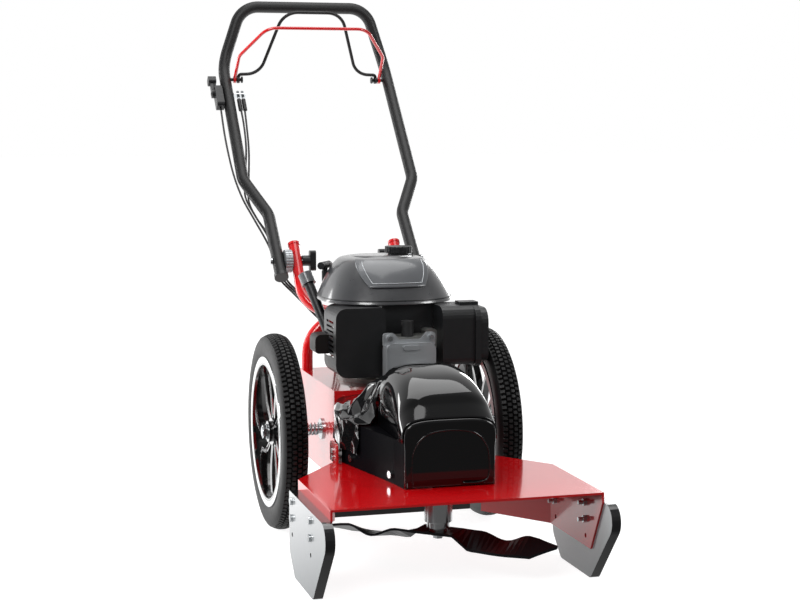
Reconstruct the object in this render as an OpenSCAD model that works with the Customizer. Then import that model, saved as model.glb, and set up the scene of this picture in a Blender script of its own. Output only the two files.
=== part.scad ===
// Two-wheeled brush cutter pushed by hand: engine over the axle, cutting deck in front.
// Millimetres, +Z up, front towards -Y. Lengths along Y are counted from the axle.

/* [Wheels] */
// Outside diameter of the tyre
tyre_d = 410; // [390:1:440]
// Width of the tyre
tyre_w = 52; // [48:1:56]
// Distance between the two tyre centres
track = 454; // [448:1:470]
// Diameter of the rim under the bead
bead_d = 296; // [286:1:306]
// Height of the rim's edge above the bead
rim_edge = 9; // [6:1:12]
// Number of spoke pairs
spokes = 5; // [4:1:6]
// Diameter of the wheel hub
hub_d = 58; // [50:1:66]
// Diameter of the axle
axle_d = 20; // [18:1:22]

/* [Chassis] */
// Width of the chassis box
chassis_w = 260; // [250:1:270]
// Front panel ahead of the axle
chassis_front = 112; // [106:1:118]
// Rear panel behind the axle
chassis_rear = 215; // [210:1:230]
// Top of the chassis above the axle
chassis_rise = 98; // [94:1:110]
// Bottom of the chassis below the axle
chassis_drop = 87; // [75:1:95]
// Sheet thickness of the chassis
sheet = 3; // [2:0.5:4]

/* [Deck] */
// Width of the cutting deck
deck_w = 516; // [490:2:540]
// Top of the deck below the axle
deck_drop = 28; // [24:1:32]
// Sheet thickness of the deck
deck_t = 4; // [3:0.5:5]
// Front edge of the deck ahead of the axle
deck_front = 610; // [600:1:620]
// Where the deck's sides start to draw in
deck_shoulder = 348; // [342:1:354]
// Where the deck's drawn-in sides meet the neck
waist_y = 212; // [205:1:220]
// Width of the deck at its waist
waist_w = 316; // [312:1:330]
// Underside of the deck's skirts above the ground
skirt_z = 58; // [50:1:64]
// Thickness of the rubber flap behind the cutter
flap_t = 5; // [4:0.5:6]

/* [Skids] */
// Thickness of a skid
skid_t = 18; // [14:1:20]
// Foremost point of the skids ahead of the axle
skid_front = 648; // [636:1:660]
// Front end of the skid's flat foot ahead of the axle
skid_toe = 548; // [530:1:556]
// Rear end of the skid's flat foot ahead of the axle
skid_heel = 396; // [385:1:410]
// Drop of the skid's top edge below the deck
skid_drop = 19; // [15:1:22]
// Distance between the two columns of skid holes
column_gap = 156; // [140:1:160]
// Distance between the rows of skid holes
row_gap = 32; // [28:1:32]
// Diameter of the skid bolts
skid_bolt_d = 8; // [6:1:8]

/* [Cutter] */
// Spindle ahead of the axle
spindle_y = 414; // [405:1:425]
// Outside diameter of the spindle housing
housing_d = 54; // [50:1:60]
// Diameter of the spindle shaft
spindle_d = 20; // [18:1:22]
// Height of the blade above the ground
blade_z = 76; // [74:1:80]
// Length of the blade
blade_l = 470; // [440:2:480]
// Width of the blade
blade_w = 58; // [50:1:64]
// Thickness of the blade
blade_t = 5; // [4:0.5:6]
// Dip of the blade's leading edge
blade_dip = 25; // [18:1:28]

/* [Belt cover] */
// Width of the belt tunnel at its nose
nose_w = 176; // [170:2:186]
// Front of the hood ahead of the axle
hood_front = 492; // [486:1:500]
// Rear edge of the hood ahead of the axle
hood_rear = 300; // [292:1:310]
// Height of the tunnel above the deck
tunnel_h = 86; // [84:1:92]
// Height of the hood above the deck
hood_h = 206; // [200:1:225]
// Wall of the hood
hood_wall = 3; // [2:0.5:4]

/* [Engine] */
// Sideways place of the crankshaft
engine_x = 20; // [10:1:24]
// Crankshaft behind the axle
engine_y = 47; // [44:1:50]
// Diameter of the crankshaft
crank_d = 25; // [22:1:26]
// Radius of the engine's mounting flange
flange_r = 105; // [100:1:106]
// Underside of the fan cover above the chassis
cover_base = 170; // [169:1:176]
// Height of the fan cover
cover_h = 90; // [88:1:100]
// Half width of the fan cover
cover_rx = 141; // [135:1:144]
// Half length of the fan cover
cover_ry = 135; // [130:1:140]
// Wall of the fan cover
cover_wall = 3; // [2:0.5:4]
// Radius of the cutter pulley on the crankshaft
engine_pulley_r = 45; // [43:1:46]
// Radius of the pulley on the spindle
spindle_pulley_r = 50; // [47:1:54]
// Radius of the drive pulley on the crankshaft
drive_pulley_r = 30; // [28:1:31]
// Radius of the pulley on the gearbox
input_pulley_r = 45; // [42:1:46]

/* [Handle] */
// Diameter of the arch and fork tube
fork_tube_d = 25; // [22:1:26]
// Diameter of the handlebar tube
bar_d = 28; // [25:1:28]
// Wall of the tubes
tube_wall = 2; // [1.5:0.5:3]
// Height of the arch above the chassis
arch_h = 112; // [104:1:120]
// Tube centre of the rear arch inside the side of the chassis
arch_inset = 12; // [10:1:20]
// Width of the fork between its leg centres
fork_w = 236; // [226:2:244]
// Length of the fork from its bottom to its tops
fork_l = 179; // [170:1:190]
// Slope of the fork from level
fork_slope = 51.8; // [48:0.1:56]
// Pivot below the top of the fork
pivot_drop = 42; // [36:1:48]
// Diameter of the ratchet discs
ratchet_d = 52; // [46:1:56]
// Thickness of one ratchet disc
ratchet_t = 7.5; // [6:0.5:9]
// Diameter of the pivot bolts
pivot_bolt_d = 8; // [6:1:10]
// Outward step of the handlebar in its S bend
bar_step = 46; // [36:1:54]
// Width of the handlebar's top between its corners
top_w = 316; // [290:2:330]
// Height of the grip loop above its bend
loop_h = 144; // [130:1:156]
// Diameter of the bail wires
wire_d = 8; // [6:0.5:8]
// Diameter of the control cables
cable_d = 5; // [4:0.5:5]

/* [Fits] */
// Radial clearance of a running fit
run_fit = 0.05; // [0.02:0.01:0.1]
// Gap between bodies that move past each other
body_gap = 0.4; // [0.3:0.1:0.8]
// Gap between pieces that are bolted together
seat_gap = 0.02; // [0.01:0.01:0.05]

/* [Hidden] */
$fn = 48;

paint_red = "#b3101a";
paint_black = "#1b1c1e";
plastic_black = "#232427";
steel = "#a9adb2";
cast_alloy = "#9a9a98";
rubber_black = "#1d1d1f";

// Heights
axle_z = tyre_d / 2;
chassis_top = axle_z + chassis_rise;
chassis_bottom = axle_z - chassis_drop;
deck_top = axle_z - deck_drop;
deck_under = deck_top - deck_t;
tunnel_top = deck_top + tunnel_h;

// Fork, pivot and handlebar places in the plane of the machine, as [y, z]
fork_r = fork_tube_d / 2;
bar_r = bar_d / 2;
arch_y = chassis_rear - 25;
arch_top = [arch_y, chassis_top + arch_h];
fork_join = 31;
fork_bottom = arch_top + (fork_tube_d + seat_gap) * [cos(fork_join), sin(fork_join)];
fork_dir = [cos(fork_slope), sin(fork_slope)];
fork_end = fork_bottom + fork_l * fork_dir;
pivot = fork_end - pivot_drop * fork_dir;
bar_x = fork_w / 2 + fork_r + 2 * ratchet_t + body_gap + bar_r + 2 * seat_gap;
bar_slope = 43;
bar_dir = [cos(bar_slope), sin(bar_slope)];
bar_tail = pivot - 40 * bar_dir;
bend_low = pivot + 145 * bar_dir;
bend_high = bend_low + [71, 78];
grip_slope = 46.6;
grip_dir = [cos(grip_slope), sin(grip_slope)];
grip_bend = bend_high + 374 * grip_dir;
grip_x = bar_x + bar_step;
bail_pivot = grip_bend - 48 * grip_dir;

// The origin lies under the middle of the whole machine
y_front = -skid_front;
y_back = grip_bend[0] + bar_r;
y_shift = -(y_front + y_back) / 2;

module machine() {
    translate([0, y_shift, 0]) children();
}

module both_sides() {
    children();
    mirror([1, 0, 0]) children();
}

// Draws a [y, z] outline as a plate that grows along +X
module side_plate(thick) {
    rotate([90, 0, 90]) linear_extrude(thick) children();
}

// Draws an [x, z] outline as a plate that grows along +Y
module front_plate(thick) {
    translate([0, thick, 0]) rotate([90, 0, 0]) linear_extrude(thick) children();
}

module along_x(from, to, r) {
    translate([from, 0, 0]) rotate([0, 90, 0]) cylinder(r = r, h = to - from);
}

function unit(v) = v / norm(v);

// Corner of an outline rounded by an arc
function corner(a, b, c, r, n) =
    let (u = unit(a - b), v = unit(c - b), half = acos(u * v) / 2, o = b + unit(u + v) * r / sin(half))
    let (s = b + u * r / tan(half) - o, e = b + v * r / tan(half) - o)
    let (from = atan2(s.y, s.x), turn = atan2(e.y, e.x) - from)
    let (sweep = turn > 180 ? turn - 360 : turn < -180 ? turn + 360 : turn)
    [for (k = [0:n]) o + r * [cos(from + sweep * k / n), sin(from + sweep * k / n)]];

// Outline whose corners have the radii given, zero for a sharp corner
function rounded(p, r, n = 6) =
    [for (i = [0:len(p) - 1]) let (m = len(p))
        each r[i] > 0 ? corner(p[(i + m - 1) % m], p[i], p[(i + 1) % m], r[i], n) : [p[i]]];

function box_outline(x0, y0, x1, y1) = [[x0, y0], [x1, y0], [x1, y1], [x0, y1]];

// Straight tube or rod between two points
module straight(a, b, r, bore) {
    d = b - a;
    l = norm(d);
    if (l > 0.01) translate(a) rotate([0, acos(d.z / l), atan2(d.y, d.x)]) difference() {
        cylinder(r = r, h = l);
        if (bore > 0) translate([0, 0, -1]) cylinder(r = bore, h = l + 2);
    }
}

// Tube or rod along points, bent to a radius at each inner point
module bent(p, bend, r, bore = 0) {
    last = len(p) - 1;
    turn = [for (i = [0:last]) i == 0 || i == last ? 0 : acos(unit(p[i] - p[i - 1]) * unit(p[i + 1] - p[i]))];
    cut = [for (i = [0:last]) turn[i] > 0.5 ? bend[i] * tan(turn[i] / 2) : 0];
    for (i = [0:last - 1]) {
        u = unit(p[i + 1] - p[i]);
        straight(p[i] + u * cut[i], p[i + 1] - u * cut[i + 1], r, bore);
    }
    for (i = [1:max(1, last - 1)]) if (turn[i] > 0.5) {
        u = unit(p[i] - p[i - 1]);
        n = unit(cross(u, p[i + 1] - p[i]));
        m = cross(n, u);
        c = p[i] - u * cut[i] + m * bend[i];
        multmatrix([[-m.x, u.x, n.x, c.x], [-m.y, u.y, n.y, c.y], [-m.z, u.z, n.z, c.z], [0, 0, 0, 1]])
            rotate_extrude(angle = turn[i]) translate([bend[i], 0]) difference() {
                circle(r);
                if (bore > 0) circle(bore);
            }
    }
}

// Points along a path whose inner corners are bent to a radius
function bend_points(p, bend, n) = [p[0], for (i = [1:len(p) - 2])
    let (u = unit(p[i] - p[i - 1]), v = unit(p[i + 1] - p[i]), turn = acos(u * v),
        m = cross(unit(cross(u, v)), u))
    let (c = p[i] - u * bend[i] * tan(turn / 2) + m * bend[i])
    each [for (k = [0:n]) c + bend[i] * (u * sin(turn * k / n) - m * cos(turn * k / n))], p[len(p) - 1]];

// Ring of points square to a path
function path_ring(p, i, r, sides, ref) =
    let (t = unit(p[min(i + 1, len(p) - 1)] - p[max(i - 1, 0)]), u = unit(cross(t, ref)), v = cross(t, u))
    [for (k = [0:sides - 1]) p[i] + r * (cos(360 * k / sides) * u - sin(360 * k / sides) * v)];

// Rod along a path, or a tube where a bore is given
module sweep(p, r, sides, ref, bore = 0) {
    last = len(p) - 1;
    outer = [for (i = [0:last]) path_ring(p, i, r, sides, ref)];
    inner = [for (i = [last:-1:0]) path_ring(p, i, bore, sides, ref)];
    if (bore > 0) skin(concat(outer, inner), false);
    else skin(outer);
}

// Smooth curve through points, a few steps for each span
function curve(p, steps) =
    [for (i = [0:len(p) - 2], k = [0:steps - 1])
        let (a = p[max(i - 1, 0)], b = p[i], c = p[i + 1], d = p[min(i + 2, len(p) - 1)], t = k / steps)
        0.5 * (2 * b + (c - a) * t + (2 * a - 5 * b + 4 * c - d) * t * t + (3 * b - a - 3 * c + d) * t * t * t),
        p[len(p) - 1]];

// Closed skin over rings that all have the same number of points
module skin(rings, capped = true) {
    n = len(rings[0]);
    m = len(rings);
    spans = capped ? m - 2 : m - 1;
    solid([for (ring = rings) each ring], concat(
        [for (i = [0:spans], j = [0:n - 1]) [i * n + j, (i + 1) % m * n + (j + 1) % n, i * n + (j + 1) % n]],
        [for (i = [0:spans], j = [0:n - 1]) [i * n + j, (i + 1) % m * n + j, (i + 1) % m * n + (j + 1) % n]],
        capped ? [for (j = [1:n - 2]) [0, j, j + 1]] : [],
        capped ? [for (j = [1:n - 2]) [(m - 1) * n, (m - 1) * n + j + 1, (m - 1) * n + j]] : []));
}

// Bent sheet between two grids of points of the same size
module thick_sheet(top, under) {
    m = len(top);
    n = len(top[0]);
    k = m * n;
    rows = [0:m - 2];
    cols = [0:n - 2];
    solid(concat([for (row = top) each row], [for (row = under) each row]), concat(
        [for (i = rows, j = cols) [i * n + j, i * n + n + j, i * n + n + j + 1]],
        [for (i = rows, j = cols) [i * n + j, i * n + n + j + 1, i * n + j + 1]],
        [for (i = rows, j = cols) [k + i * n + j, k + i * n + n + j + 1, k + i * n + n + j]],
        [for (i = rows, j = cols) [k + i * n + j, k + i * n + j + 1, k + i * n + n + j + 1]],
        [for (j = cols) [j, j + 1, k + j + 1]],
        [for (j = cols) [j, k + j + 1, k + j]],
        [for (j = cols) [k - n + j + 1, k - n + j, 2 * k - n + j]],
        [for (j = cols) [k - n + j + 1, 2 * k - n + j, 2 * k - n + j + 1]],
        [for (i = rows) [i * n + n, i * n, k + i * n]],
        [for (i = rows) [i * n + n, k + i * n, k + i * n + n]],
        [for (i = rows) [i * n + n - 1, i * n + 2 * n - 1, k + i * n + 2 * n - 1]],
        [for (i = rows) [i * n + n - 1, k + i * n + 2 * n - 1, k + i * n + n - 1]]));
}

// Closed solid from points and triangles, with its faces turned outwards
module solid(points, faces) {
    volume = [for (f = faces) points[f[0]] * cross(points[f[1]], points[f[2]])] * [for (f = faces) 1];
    polyhedron(points, volume < 0 ? faces : [for (f = faces) [f[2], f[1], f[0]]]);
}

// Flexible cable along points
module cable(p, r) {
    sweep(p, r, 8, [0.7, -0.6, 0.4]);
}

// Chassis
window_w = 160;
crank_hole_d = 62;
bush_r = axle_d / 2 + 6;

module chassis_box() {
    color(paint_red) machine() difference() {
        translate([-chassis_w / 2, -chassis_front, chassis_bottom])
            cube([chassis_w, chassis_front + chassis_rear, chassis_top - chassis_bottom]);
        translate([-chassis_w / 2 + sheet, -chassis_front + sheet, chassis_bottom - sheet])
            cube([chassis_w - 2 * sheet, chassis_front + chassis_rear - 2 * sheet,
                chassis_top - chassis_bottom]);
        translate([-window_w / 2, -chassis_front - 1, deck_top + 15])
            cube([window_w, sheet + 2, chassis_top - deck_top - 35]);
        translate([engine_x, engine_y, chassis_top - sheet - 1]) cylinder(d = crank_hole_d, h = sheet + 2);
        translate([0, 0, axle_z]) along_x(-chassis_w, chassis_w, bush_r + seat_gap);
        for (p = flange_bolts) translate([p.x, p.y, chassis_top - sheet - 1]) cylinder(d = 9, h = sheet + 2);
    }
    color(paint_red) machine() translate([stud_at.x, stud_at.y, drive_belt_z + 2])
        cylinder(r = stud_r, h = chassis_top - drive_belt_z - 3);
}

// Deck with its folds
fold_t = deck_t;
tab_x = waist_w / 2 - 7;
flap_y = spindle_y - blade_l / 2 - 8;
tab_l = 56;
tab_h = 40;
skid_inner = deck_w / 2;
hole_rows = [for (i = [0:2]) deck_top - 35 - row_gap * i];
hole_columns = [-deck_shoulder - 28 - column_gap, -deck_shoulder - 28];
skid_hole_r = skid_bolt_d / 2 + 0.5;

module skid_holes() {
    for (y = hole_columns, z = hole_rows) translate([0, y, z]) along_x(-deck_w, deck_w, skid_hole_r);
}

module deck_plate() {
    half = deck_w / 2;
    neck = chassis_w / 2 - 4;
    waist = waist_w / 2;
    color(paint_red) machine() difference() {
        union() {
            translate([0, 0, deck_under]) linear_extrude(deck_t) polygon([
                [-half, -deck_front], [half, -deck_front], [half, -deck_shoulder], [waist, -waist_y],
                [neck, -chassis_front], [-neck, -chassis_front], [-waist, -waist_y],
                [-half, -deck_shoulder]]);
            both_sides() translate([half - fold_t, 0, 0]) side_plate(fold_t) polygon([
                [-deck_front, deck_top], [-deck_front, deck_top - 20],
                [-skid_toe - 8, skirt_z], [-deck_shoulder, skirt_z], [-deck_shoulder, deck_top]]);
            both_sides() translate([0, 0, skirt_z]) linear_extrude(deck_top - skirt_z) polygon([
                [half, -deck_shoulder], [waist, -waist_y], [waist - fold_t, -waist_y],
                [half - fold_t, -deck_shoulder]]);
            both_sides() translate([tab_x, -waist_y - 20, deck_top - 1])
                side_plate(fold_t) polygon(rounded(box_outline(0, 0, tab_l, tab_h), [0, 0, 10, 10]));
        }
        translate([0, -spindle_y, deck_under - 1]) cylinder(d = spindle_d + 22, h = deck_t + 2);
        skid_holes();
        for (z = tab_bolt_z) translate([0, tab_bolt_y, z]) along_x(-deck_w, deck_w, 3.2);
    }
}

module rear_flap() {
    w = waist_w - 28;
    low = skirt_z - 4;
    color(rubber_black) machine() translate([-w / 2, -flap_y, low])
        cube([w, flap_t, deck_under - low - seat_gap]);
}

// Skids
skid_top = deck_top - skid_drop;
nose_r = 32;
nose_c = [-skid_front + nose_r, skid_top - nose_r];
toe = [-skid_toe, 0];
rake = atan2(nose_c.y - toe.y, nose_c.x - toe.x) + asin(nose_r / norm(nose_c - toe));
nose_corner = toe + skid_top / sin(rake) * [cos(rake), sin(rake)];

module skid() {
    heel = [-skid_heel, 0];
    tail = -deck_shoulder - 2;
    difference() {
        translate([skid_inner + seat_gap, 0, 0]) side_plate(skid_t) polygon(rounded(
            [nose_corner, toe, heel, [tail, 42], [tail, skid_top]], [nose_r, 10, 16, 30, 4], 10));
        skid_holes();
    }
}

module skid_left() {
    color(paint_black) machine() skid();
}

module skid_right() {
    color(paint_black) machine() mirror([1, 0, 0]) skid();
}

// Fasteners: a domed head, a shank and a nut
module bolt(d, grip, nut = true) {
    cylinder(d = d, h = grip + 2 * d);
    translate([0, 0, -0.6 * d]) cylinder(d = 1.75 * d, h = 0.6 * d);
    if (nut) translate([0, 0, grip]) cylinder(d = 1.75 * d, h = 0.8 * d, $fn = 6);
}

tab_bolt_y = -waist_y - 20 + tab_l / 2;
tab_bolt_z = [deck_top + 9, deck_top + 22];
flank_back = [chassis_w / 2 - 4, -chassis_front];
flank_waist = [waist_w / 2 - 18, -waist_y - 4];
flank_mid = [nose_w / 2 + 6, -spindle_y - 22];
flank_nose = [nose_w / 2, -hood_front + 8];
flank_slope = atan2(flank_waist.x - flank_mid.x, flank_waist.y - flank_mid.y);
flank_bolts = [0.2, 0.95];
flange_bolts = [for (a = [30, 150, 205, 335]) [engine_x + 92 * cos(a), engine_y + 92 * sin(a)]];
engine_foot = 9;

module frame_bolts() {
    color(steel) machine() {
        both_sides() {
            for (y = hole_columns, z = [hole_rows[0], hole_rows[1]])
                translate([skid_inner + skid_t + 2 * seat_gap, y, z]) rotate([0, -90, 0])
                    bolt(skid_bolt_d, skid_t + fold_t + 4 * seat_gap);
            for (z = tab_bolt_z) translate([tab_x + fold_t + seat_gap, tab_bolt_y, z]) rotate([0, -90, 0])
                bolt(6, fold_t + 2 * seat_gap, false);
            for (s = flank_bolts) {
                p = flank_waist + s * (flank_mid - flank_waist);
                translate([p.x + seat_gap, p.y, deck_top + 16]) rotate([0, 0, -flank_slope])
                    rotate([0, -90, 0])
                    bolt(8, 2, false);
            }
        }
        for (p = flange_bolts) translate([p.x, p.y, chassis_top + engine_foot + seat_gap]) rotate([180, 0, 0])
            bolt(8, engine_foot + sheet + 2 * seat_gap);
    }
}

// Spindle
housing_low = blade_z + 8;
housing_flange_r = housing_d / 2 + 26;
bearing_r = housing_d / 2 - 6;
bearing_h = 14;
bearing_up = deck_under - bearing_h - 4;
bearing_down = housing_low + 5;

module at_spindle() {
    translate([0, -spindle_y, 0]) children();
}

module spindle_housing() {
    color(steel) machine() at_spindle() rotate_extrude() polygon([
        [bearing_r, deck_under - 4], [bearing_r, housing_low + 5], [spindle_d / 2 + 2, housing_low + 5],
        [spindle_d / 2 + 2, housing_low], [housing_d / 2 - 5, housing_low],
        [housing_d / 2 - 5, housing_low + 10],
        [housing_d / 2, housing_low + 12], [housing_d / 2, deck_under - 10],
        [housing_flange_r, deck_under - 10],
        [housing_flange_r, deck_under - seat_gap], [spindle_d / 2 + 6, deck_under - seat_gap],
        [spindle_d / 2 + 6, deck_under - 4]]);
}

module bearing(outer, inner, h) {
    rotate_extrude() translate([inner, 0]) square([outer - inner, h]);
}

// Ball bearings of the spindle and flanged bushes of the axle
module bearings() {
    color(steel) machine() {
        for (z = [bearing_up, bearing_down + seat_gap]) at_spindle() translate([0, 0, z])
            bearing(bearing_r - seat_gap, spindle_d / 2 + run_fit, bearing_h - seat_gap);
        both_sides() translate([chassis_w / 2 - sheet - 12, 0, axle_z]) rotate([0, 90, 0])
            bearing(bush_r, axle_d / 2 + run_fit, sheet + 12 + seat_gap);
        both_sides() translate([chassis_w / 2 + seat_gap, 0, axle_z]) rotate([0, 90, 0])
            bearing(bush_r + 6, axle_d / 2 + run_fit, 4);
    }
}

// Belt tunnel between the chassis and the hood
tunnel_t = 2;
tunnel_lid_end = hood_rear + 34;
ledge_w = 12;

function inset(p) = [p.x - tunnel_t, p.y];

module belt_tunnel() {
    line = [flank_back, flank_waist, flank_mid, flank_nose];
    color(paint_black) machine() difference() {
        union() {
            both_sides() translate([0, 0, deck_top]) linear_extrude(tunnel_h) polygon(concat(
                line, [for (i = [3:-1:0]) inset(line[i])]));
            lid_share = (tunnel_lid_end + flank_waist.y) / (flank_waist.y - flank_mid.y);
            lid_x = flank_waist.x + lid_share * (flank_mid.x - flank_waist.x) - 1;
            translate([0, 0, tunnel_top - tunnel_t]) linear_extrude(tunnel_t) polygon([
                [flank_back.x - 1, flank_back.y], [flank_waist.x - 1, flank_waist.y],
                [lid_x, -tunnel_lid_end],
                [-lid_x, -tunnel_lid_end], [1 - flank_waist.x, flank_waist.y],
                [1 - flank_back.x, flank_back.y]]);
            both_sides() translate([0, 0, tunnel_top - tunnel_t]) linear_extrude(tunnel_t) polygon([
                [lid_x, 1 - tunnel_lid_end], [flank_mid.x - 1, flank_mid.y], [flank_nose.x - 1, flank_nose.y],
                [nose_w / 2 - ledge_w, flank_nose.y], [nose_w / 2 - ledge_w, 1 - tunnel_lid_end]]);
        }
        both_sides() for (s = flank_bolts) {
            p = flank_waist + s * (flank_mid - flank_waist);
            translate([p.x, p.y, deck_top + 16]) rotate([0, 0, -flank_slope]) along_x(-20, 20, 4.2);
        }
    }
}

// Loose vinyl apron folded over the tunnel, in creases that run across it
apron_rows = 18;
apron_cols = 28;
apron_low = deck_top + 30;
apron_start = chassis_front + seat_gap;
apron_end = hood_rear - 2;
apron_t = 1.5;
apron_crease = 7;
apron_lift = 2;

function flank_x(y) = y > -waist_y - 4
    ? flank_back.x + (flank_waist.x - flank_back.x) * (y + chassis_front) / (flank_waist.y + chassis_front)
    : flank_waist.x + (flank_mid.x - flank_waist.x) * (y - flank_waist.y) / (flank_mid.y - flank_waist.y);
function crease(a, b) = apron_crease * (0.5 + 0.5 * sin(a * 900 + b * 200))
    * (0.4 + 0.6 * abs(sin(b * 260 + a * 340)));
// Half outlines above the tunnel's edge at the chassis and at the hood, as [share of width, height]
apron_back = [[1, 0], [0.99, 12], [0.97, 19], [0.86, 23], [0.62, 24], [0.3, 25], [0, 25]];
apron_fore = [[1, 0], [0.82, 3], [0.74, 14], [0.7, 44], [0.61, 82], [0.4, 100], [0, 105]];

function mix(a, b, t) = a + (b - a) * t;
function ease(s) = s * s * (3 - 2 * s);
function apron_half(s, u) =
    let (t = u * 6, i = min(5, floor(t)))
    mix(mix(apron_back[i], apron_back[i + 1], t - i), mix(apron_fore[i], apron_fore[i + 1], t - i), ease(s));
function apron_side(x, s, v, out) =
    let (lift = apron_lift + crease(s, v) + out, side = v < 0.5 ? -1 : 1, w = min(v, 1 - v))
    w < 0.14 ? [side * (x + lift), apron_low + (tunnel_top + lift - apron_low) * w / 0.14]
    : let (q = apron_half(s, (w - 0.14) / 0.36)) [side * (x + lift) * q[0], tunnel_top + lift + q[1]];

function apron_grid(out) = [for (i = [0:apron_rows])
    let (s = i / apron_rows, y = -apron_start - s * (apron_end - apron_start))
    [for (k = [0:apron_cols]) let (q = apron_side(flank_x(y), s, k / apron_cols, out)) [q.x, y, q.y]]];

module belt_apron() {
    color(rubber_black) machine() thick_sheet(apron_grid(apron_t), apron_grid(0));
}

// Hood over the spindle pulley: arched sections from the front to the rear edge
hood_rows = [[0, 0.585, 0.95], [0.02, 0.612, 0.98], [0.14, 0.728, 0.99], [0.255, 0.84, 0.98],
    [0.48, 0.947, 0.96], [0.79, 1, 0.94], [1, 0.985, 0.93]];
hood_arc = 20;

function hood_point(row, k, inward) =
    let (a = 180 * k / hood_arc, c = cos(a), w = (nose_w / 2 + 3) * row[2] - inward)
    [w * sign(c) * pow(abs(c), 0.52),
        tunnel_top + seat_gap + (hood_h * row[1] - tunnel_h - inward) * pow(sin(a), 0.48)];
function hood_grid(inward) = [for (row = hood_rows) let (y = -hood_front + row[0] * (hood_front - hood_rear))
    [for (k = [0:hood_arc]) let (q = hood_point(row, k, inward)) [q.x, y, q.y]]];

module front_hood() {
    nose = hood_rows[0];
    color(paint_black) machine() {
        thick_sheet(hood_grid(0), hood_grid(hood_wall));
        translate([0, -hood_front, 0]) front_plate(hood_wall) polygon(concat(
            [for (k = [0:hood_arc]) hood_point(nose, k, 1)],
            [[-nose_w / 2, deck_top + seat_gap], [nose_w / 2, deck_top + seat_gap]]));
        translate([-nose_w / 2, -hood_front, deck_top + seat_gap]) linear_extrude(tunnel_h + 2) polygon(
            rounded([[0, 0], [nose_w, 0], [nose_w, 8 - seat_gap], [0, 8 - seat_gap]], [5, 5, 0, 0]));
    }
}

// Gearbox on the axle, driven from above
gear_r = 26;
worm_r = 9.5;
worm_y = -(gear_r + worm_r + 0.5);
input_d = 12;
gearbox_r = 36;
gearbox_half = 34;
gearbox_top = axle_z + gearbox_r + 2;
gearbox_low = axle_z - gearbox_r;

module gearbox_housing() {
    boss_low = gearbox_low + 8;
    color(cast_alloy) machine() difference() {
        union() {
            translate([0, 0, axle_z]) along_x(-gearbox_half, gearbox_half, gearbox_r);
            translate([0, worm_y, boss_low]) cylinder(r = 20, h = gearbox_top - boss_low);
        }
        translate([0, 0, axle_z]) along_x(-gearbox_half - 1, gearbox_half + 1, axle_d / 2 + run_fit);
        translate([0, 0, axle_z]) along_x(-10, 10, gear_r + 2);
        translate([0, worm_y, boss_low + 8]) cylinder(r = worm_r + 2, h = gearbox_top - boss_low - 16);
        translate([0, worm_y, boss_low + 2]) cylinder(r = input_d / 2 + run_fit, h = 100);
    }
}

// Arch and fork that carry the handle
arch_bend = 78;
fork_bend = 66;

module rear_arch() {
    h = chassis_w / 2 - arch_inset;
    color(paint_red) machine() bent([[-h, arch_y, chassis_top + seat_gap], [-h, arch_y, arch_top[1]],
        [h, arch_y, arch_top[1]], [h, arch_y, chassis_top + seat_gap]],
        [0, arch_bend, arch_bend, 0], fork_r, fork_r - tube_wall);
}

module handle_fork() {
    h = fork_w / 2;
    color(paint_red) machine() translate([0, fork_bottom[0], fork_bottom[1]])
        rotate([fork_slope - 90, 0, 0]) difference() {
        union() {
            bent([[-h, 0, fork_l], [-h, 0, 0], [h, 0, 0], [h, 0, fork_l]],
                [0, fork_bend, fork_bend, 0], fork_r, fork_r - tube_wall);
            both_sides() translate([h, 0, fork_l - 1]) cylinder(r = fork_r + 1.5, h = 6);
        }
        both_sides() translate([0, 0, fork_l - pivot_drop])
            along_x(h - 20, h + 20, pivot_bolt_d / 2 + run_fit);
    }
}

fixed_face = fork_w / 2 + fork_r + seat_gap;
moving_face = fixed_face + ratchet_t + body_gap;

module ratchet(face) {
    difference() {
        translate([face, 0, 0]) rotate([0, 90, 0]) linear_extrude(ratchet_t) difference() {
            circle(d = ratchet_d);
            for (k = [0:23]) rotate(k * 15) translate([ratchet_d / 2 + 1, 0]) circle(2.2);
        }
        along_x(face - 1, face + ratchet_t + 1, pivot_bolt_d / 2 + run_fit);
    }
}

module at_pivot() {
    translate([0, pivot[0], pivot[1]]) children();
}

module fixed_ratchets() {
    color(cast_alloy) machine() both_sides() at_pivot() ratchet(fixed_face);
}

module moving_ratchets() {
    color(cast_alloy) machine() both_sides() at_pivot() ratchet(moving_face);
}

knob_inner = fork_w / 2 - fork_r - body_gap;
knob_l = 17;
knob_bar = 14;
knob_bore_l = 22;

module pivot_bolts() {
    head_x = bar_x + bar_r + seat_gap;
    color(steel) machine() both_sides() at_pivot() {
        along_x(knob_inner - knob_bore_l + 1, head_x + 0.5, pivot_bolt_d / 2);
        along_x(head_x, head_x + 5, pivot_bolt_d);
    }
}

module clamp_knob() {
    at_pivot() difference() {
        union() {
            along_x(knob_inner - knob_l, knob_inner, 12);
            translate([knob_inner - knob_l - knob_bar, 0, 0]) side_plate(knob_bar)
                polygon(rounded(box_outline(-8, -23, 8, 23), [6, 6, 6, 6]));
        }
        along_x(knob_inner - knob_bore_l, knob_inner + 1, pivot_bolt_d / 2 + run_fit);
    }
}

module clamp_knob_left() {
    color(plastic_black) machine() clamp_knob();
}

module clamp_knob_right() {
    color(plastic_black) machine() mirror([1, 0, 0]) clamp_knob();
}

// Handlebar
function bar_point(x, p) = [x, p[0], p[1]];
bar_left = [bar_point(-bar_x, bar_tail), bar_point(-bar_x, bend_low), bar_point(-grip_x, bend_high),
    bar_point(-grip_x, grip_bend), [-top_w / 2, grip_bend[0], grip_bend[1] + loop_h]];
bar_right = [for (i = [4:-1:0]) [-bar_left[i].x, bar_left[i].y, bar_left[i].z]];
bail_pin_r = 4;
bar_sides = 16;
red_eye = grip_x - bar_r - 9;
black_eye = red_eye - 9;
bail_pin_end = black_eye - 8;

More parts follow.
